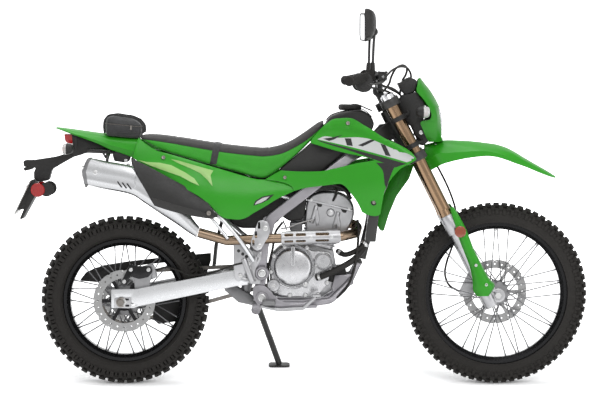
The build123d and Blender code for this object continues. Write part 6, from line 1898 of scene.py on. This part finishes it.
# x, y and z of the stalk's foot; which way the lens looks; half width, height and depth of the shell; the lens's nose.
signals = {"front": {"foot": (1148, 66, 1055), "reach": 120, "back": 1, "half": 30, "tall": 23, "deep": 26, "nose": 26},
           "rear": {"foot": (-210, 42, 915), "reach": 118, "back": -1, "half": 30, "tall": 22, "deep": 24, "nose": 18}}


def signalParts(foot, reach, back, half, tall, deep, nose):
    # Stalk, black shell, lens and bulb on both sides. Profiles are shares of the half width.
    x0, near, z0 = foot
    shells = (("shell", [(0, -deep), (0.4, -deep), (0.74, -deep * 0.8), (0.93, -deep * 0.4), (1.0, 0), (0.96, 2),
                         (0.9, 0)], "blackPlastic"),
              ("lens", [(0.94, -1), (0.97, 3), (0.93, nose * 0.6), (0.78, nose * 0.86), (0.5, nose * 0.97),
                        (0, nose)], "signalLens"),
              ("lensWell", [(0, -deep * 0.5), (0.5, -deep * 0.4), (0.9, 0)], "chrome"))
    parts = []
    for hand in (1, -1):
        y = (reach + half * 0.8) * hand
        for name, profile, finish in shells:
            profile = [(max(radius, 0.001), along) for radius, along in profile]
            ring = lathed(name, profile, (0, 0, 0), forward, 36, finish)
            ring.data.transform(Matrix.Translation((x0, y, z0)) @ Matrix.Diagonal((back, half, tall, 1)))
            if back < 0:
                ring.data.flip_normals()
            parts.append(ring)
        route = [(x0, near * hand, z0), (x0, (near + reach) / 2 * hand, z0 + 1), (x0, (reach + 4) * hand, z0)]
        parts.append(tubing("stalk", route, 7.4, "hoseRubber", 16, scales=[1.25 - 0.02 * k for k in range(13)]))
        parts.append(lathed("bulb", [(0, 0), (6, 1), (8, 7), (6, 13), (0, 15)], (x0, y, z0), (back, 0, 0), 16,
                            "amberLens"))
    return parts


drawnFor("frontSignals", "front_turn_signals", signalParts(**signals["front"]), smooth=32, body="steering")
drawnFor("rearSignals", "rear_turn_signals", signalParts(**signals["rear"]), smooth=32)

tailLens = [(-230, 969), (-226, 942), (-218, 934), (-196, 932), (-190, 968)]
tailBack = [(-200, 972), (-196, 930), (-188, 914), (-180, 914), (-178, 972)]
drawnFor("tailLamp", "tail_light", [plate("tailLens", tailLens, -48, 48, 3, 3, "redLens", 3),
                                    plate("tailBack", tailBack, -52, 52, 2, 1.2, "blackPlastic")], smooth=30)

# The plate's arm with its holder: the plate hangs from its top edge to its bottom one.
arm = {"upper": [(-198, 966), (-150, 952), (-96, 930), (-50, 909), (-20, 902), (-20, 890), (-60, 895), (-115, 902),
                 (-160, 892), (-196, 882), (-200, 905), (-194, 934)],
       "lower": [(-391, 862), (-384, 868), (-350, 868), (-270, 880), (-226, 893), (-196, 897), (-160, 900), (-160, 890),
                 (-196, 880), (-236, 858), (-280, 832), (-292, 790), (-330, 782), (-350, 796), (-350, 822),
                 (-342, 838), (-372, 842), (-388, 842)],
       "holder": [(-350, 790), (-343, 786), (-338, 740), (-394, 640), (-402, 643), (-386, 680), (-408, 676),
                  (-412, 680), (-358, 792)],
       "reflectorBar": [(-352, 770), (-284, 770), (-280, 744), (-340, 738)],
       "plate": ((-357, 788), (-411, 676)), "plateHalf": 92, "plateSpan": (-142, 4), "plateThick": 1.6}


def plateParts():
    (px, pz), (qx, qz) = arm["plate"]
    way = Vector((px - qx, 0, pz - qz)).normalized()
    half, (bottom, top) = arm["plateHalf"], arm["plateSpan"]
    corners = [Vector((px - 3, y, pz)) + way * s
               for y, s in ((-half, bottom), (half, bottom), (half, top), (-half, top))]
    sheet = newPiece("blankPlate", corners, [(0, 1, 2, 3)])
    thickened(facing(sheet, (-1, 0, 0.4)), arm["plateThick"])
    parts = [plate("upperArm", arm["upper"], -48, 48, 8, 5, "blackPlastic", 3),
             plate("lowerArm", arm["lower"], -28, 28, 6, 5, "blackPlastic", 3),
             plate("plateHolder", arm["holder"], -60, 60, 3, 1.6, "blackPlastic"),
             dressed(bevelled(sheet, 0.5), "plateWhite")]
    for hand in (1, -1):
        parts.append(lathed("sideReflector", [(0, 0), (24, 0), (26.5, 1.5), (27, 5), (25.5, 7), (0, 8.4)],
                            (-331, 62 * hand, 754), (0, hand, 0), 40, "redLens"))
        parts.append(lathed("reflectorBack", [(0, 0), (26, 0), (27.5, 2), (27.5, 5), (26, 6.4), (0, 6.4)],
                            (-298, 56 * hand, 756), (0, hand, 0), 40, "blackPlastic"))
        parts.append(plate("reflectorBar", arm["reflectorBar"], 50 * hand, 58 * hand, 8, 1, "blackPlastic", angle=35))
    bolts = [(Vector((px - 4, y, pz)) - way * 22, (-1, 0, 0.5), 1.2) for y in (-62, 62)]
    parts.append(spotted("plateBolts", capUnit, bolts))
    parts.append(block("plateLamp", (-372, 0, 836), (34, 54, 14), 4, "blackPlastic",
                       Matrix.Rotation(radians(-14), 3, "Y"), 3))
    return parts


drawnFor("plateArm", "plate_holder", plateParts(), smooth=34)
print("stage: bars, lamps and plate")

# Latch under the tail.
latchBody = [(-42, 892), (-34, 866), (8, 860), (24, 866), (30, 884), (20, 900), (-20, 906)]
latchBolts = [((10, -84, 868), right, 0.8), ((20, -86, 852), right, 0.9)]
latch = [plate("latchBody", latchBody, -84, -66, 4, 2, "blackPaint"),
         tubing("latchLever", [(-76, -80, 896), (-66, -82, 880), (-60, -82, 900), (-44, -80, 896)], 4, "blackPaint",
                10),
         spotted("latchBolts", boltUnit, latchBolts)]
settled(joined("tailLatch", latch), "chassis", [], 36)

# Rear wheel's bracket, axle block and chain guard; the left shroud's lower wing.
bracket = [(-4, 410), (22, 468), (60, 462), (105, 462), (112, 440), (96, 420), (60, 412), (27, 422), (4, 392),
           (-8, 396)]
axleBlock = [(-36, 304), (28, 301), (31, 344), (-33, 341)]
guardSide = [(-186, 390), (-160, 424), (-119, 443), (-29, 455), (60, 468), (140, 477), (142, 464), (21, 446),
             (-39, 424), (-70, 398), (-114, 384)]
wing = [(1108, 862), (1090, 858), (1050, 830), (1012, 770), (1000, 700), (986, 640), (984, 602), (996, 582),
        (1010, 580), (1030, 646), (1060, 718), (1110, 788), (1128, 840)]
marks = [plate("adjustMark", [(x + a, z + b) for a, b in oblong(8, 4)], -115, -112, 2, 0.3, "rimBlack")
         for x, z in ((14, 336), (16, 312))]
drawnFor("rearTrim", "wheel_guards", [
    plate("caliperBracket", bracket, -88, -83, 6, 1.6, "rimBlack"),
    spotted("bracketBolts", boltUnit, [((x, -88, z), right, 0.9) for x, z in ((2, 402), (28, 448), (96, 448))]),
    plate("axleBlock", axleBlock, -114.5, -108, 5, 1.2, "castAlloy"), *marks,
    spotted("axleNut", boltUnit, [((-8, -114.4, 325), right, 2.4)], "chainSteel"),
    plate("chainGuardSide", guardSide, 83, 86.5, 8, 1.2, "blackPlastic")], replaces=False)
# The left shroud's lower wing, behind the machine, in the darker green of painted shade.
drawnFor("shroudWing", "shrouds", [plate("shroudWing", wing, 158, 161.5, 8, 1.3, "maskPlastic")], replaces=False)
print("stage: trim")

# CAD pieces that stay in sight, with their finishes.
keptFinishes = {
    "chain_drive": "chainSteel", "exhaust_header": "headerBronze", "fork_tubes": "forkGold", "front_axle": "boltSteel",
    "front_brake_hose": "hoseRubber", "front_rim": "rimBlack", "handlebar": "barBlack", "pivot_bolt": "boltSteel",
    "rear_axle": "boltSteel", "rear_brake_hose": "hoseRubber", "rear_rim": "rimBlack", "rear_sprocket": "boltSteel"}
for node, finish in keptFinishes.items():
    for slot in frame["nodes"][node].material_slots:
        slot.material = finishes[finish].material
discard(boltUnit, capUnit)

print("stage: finishing")
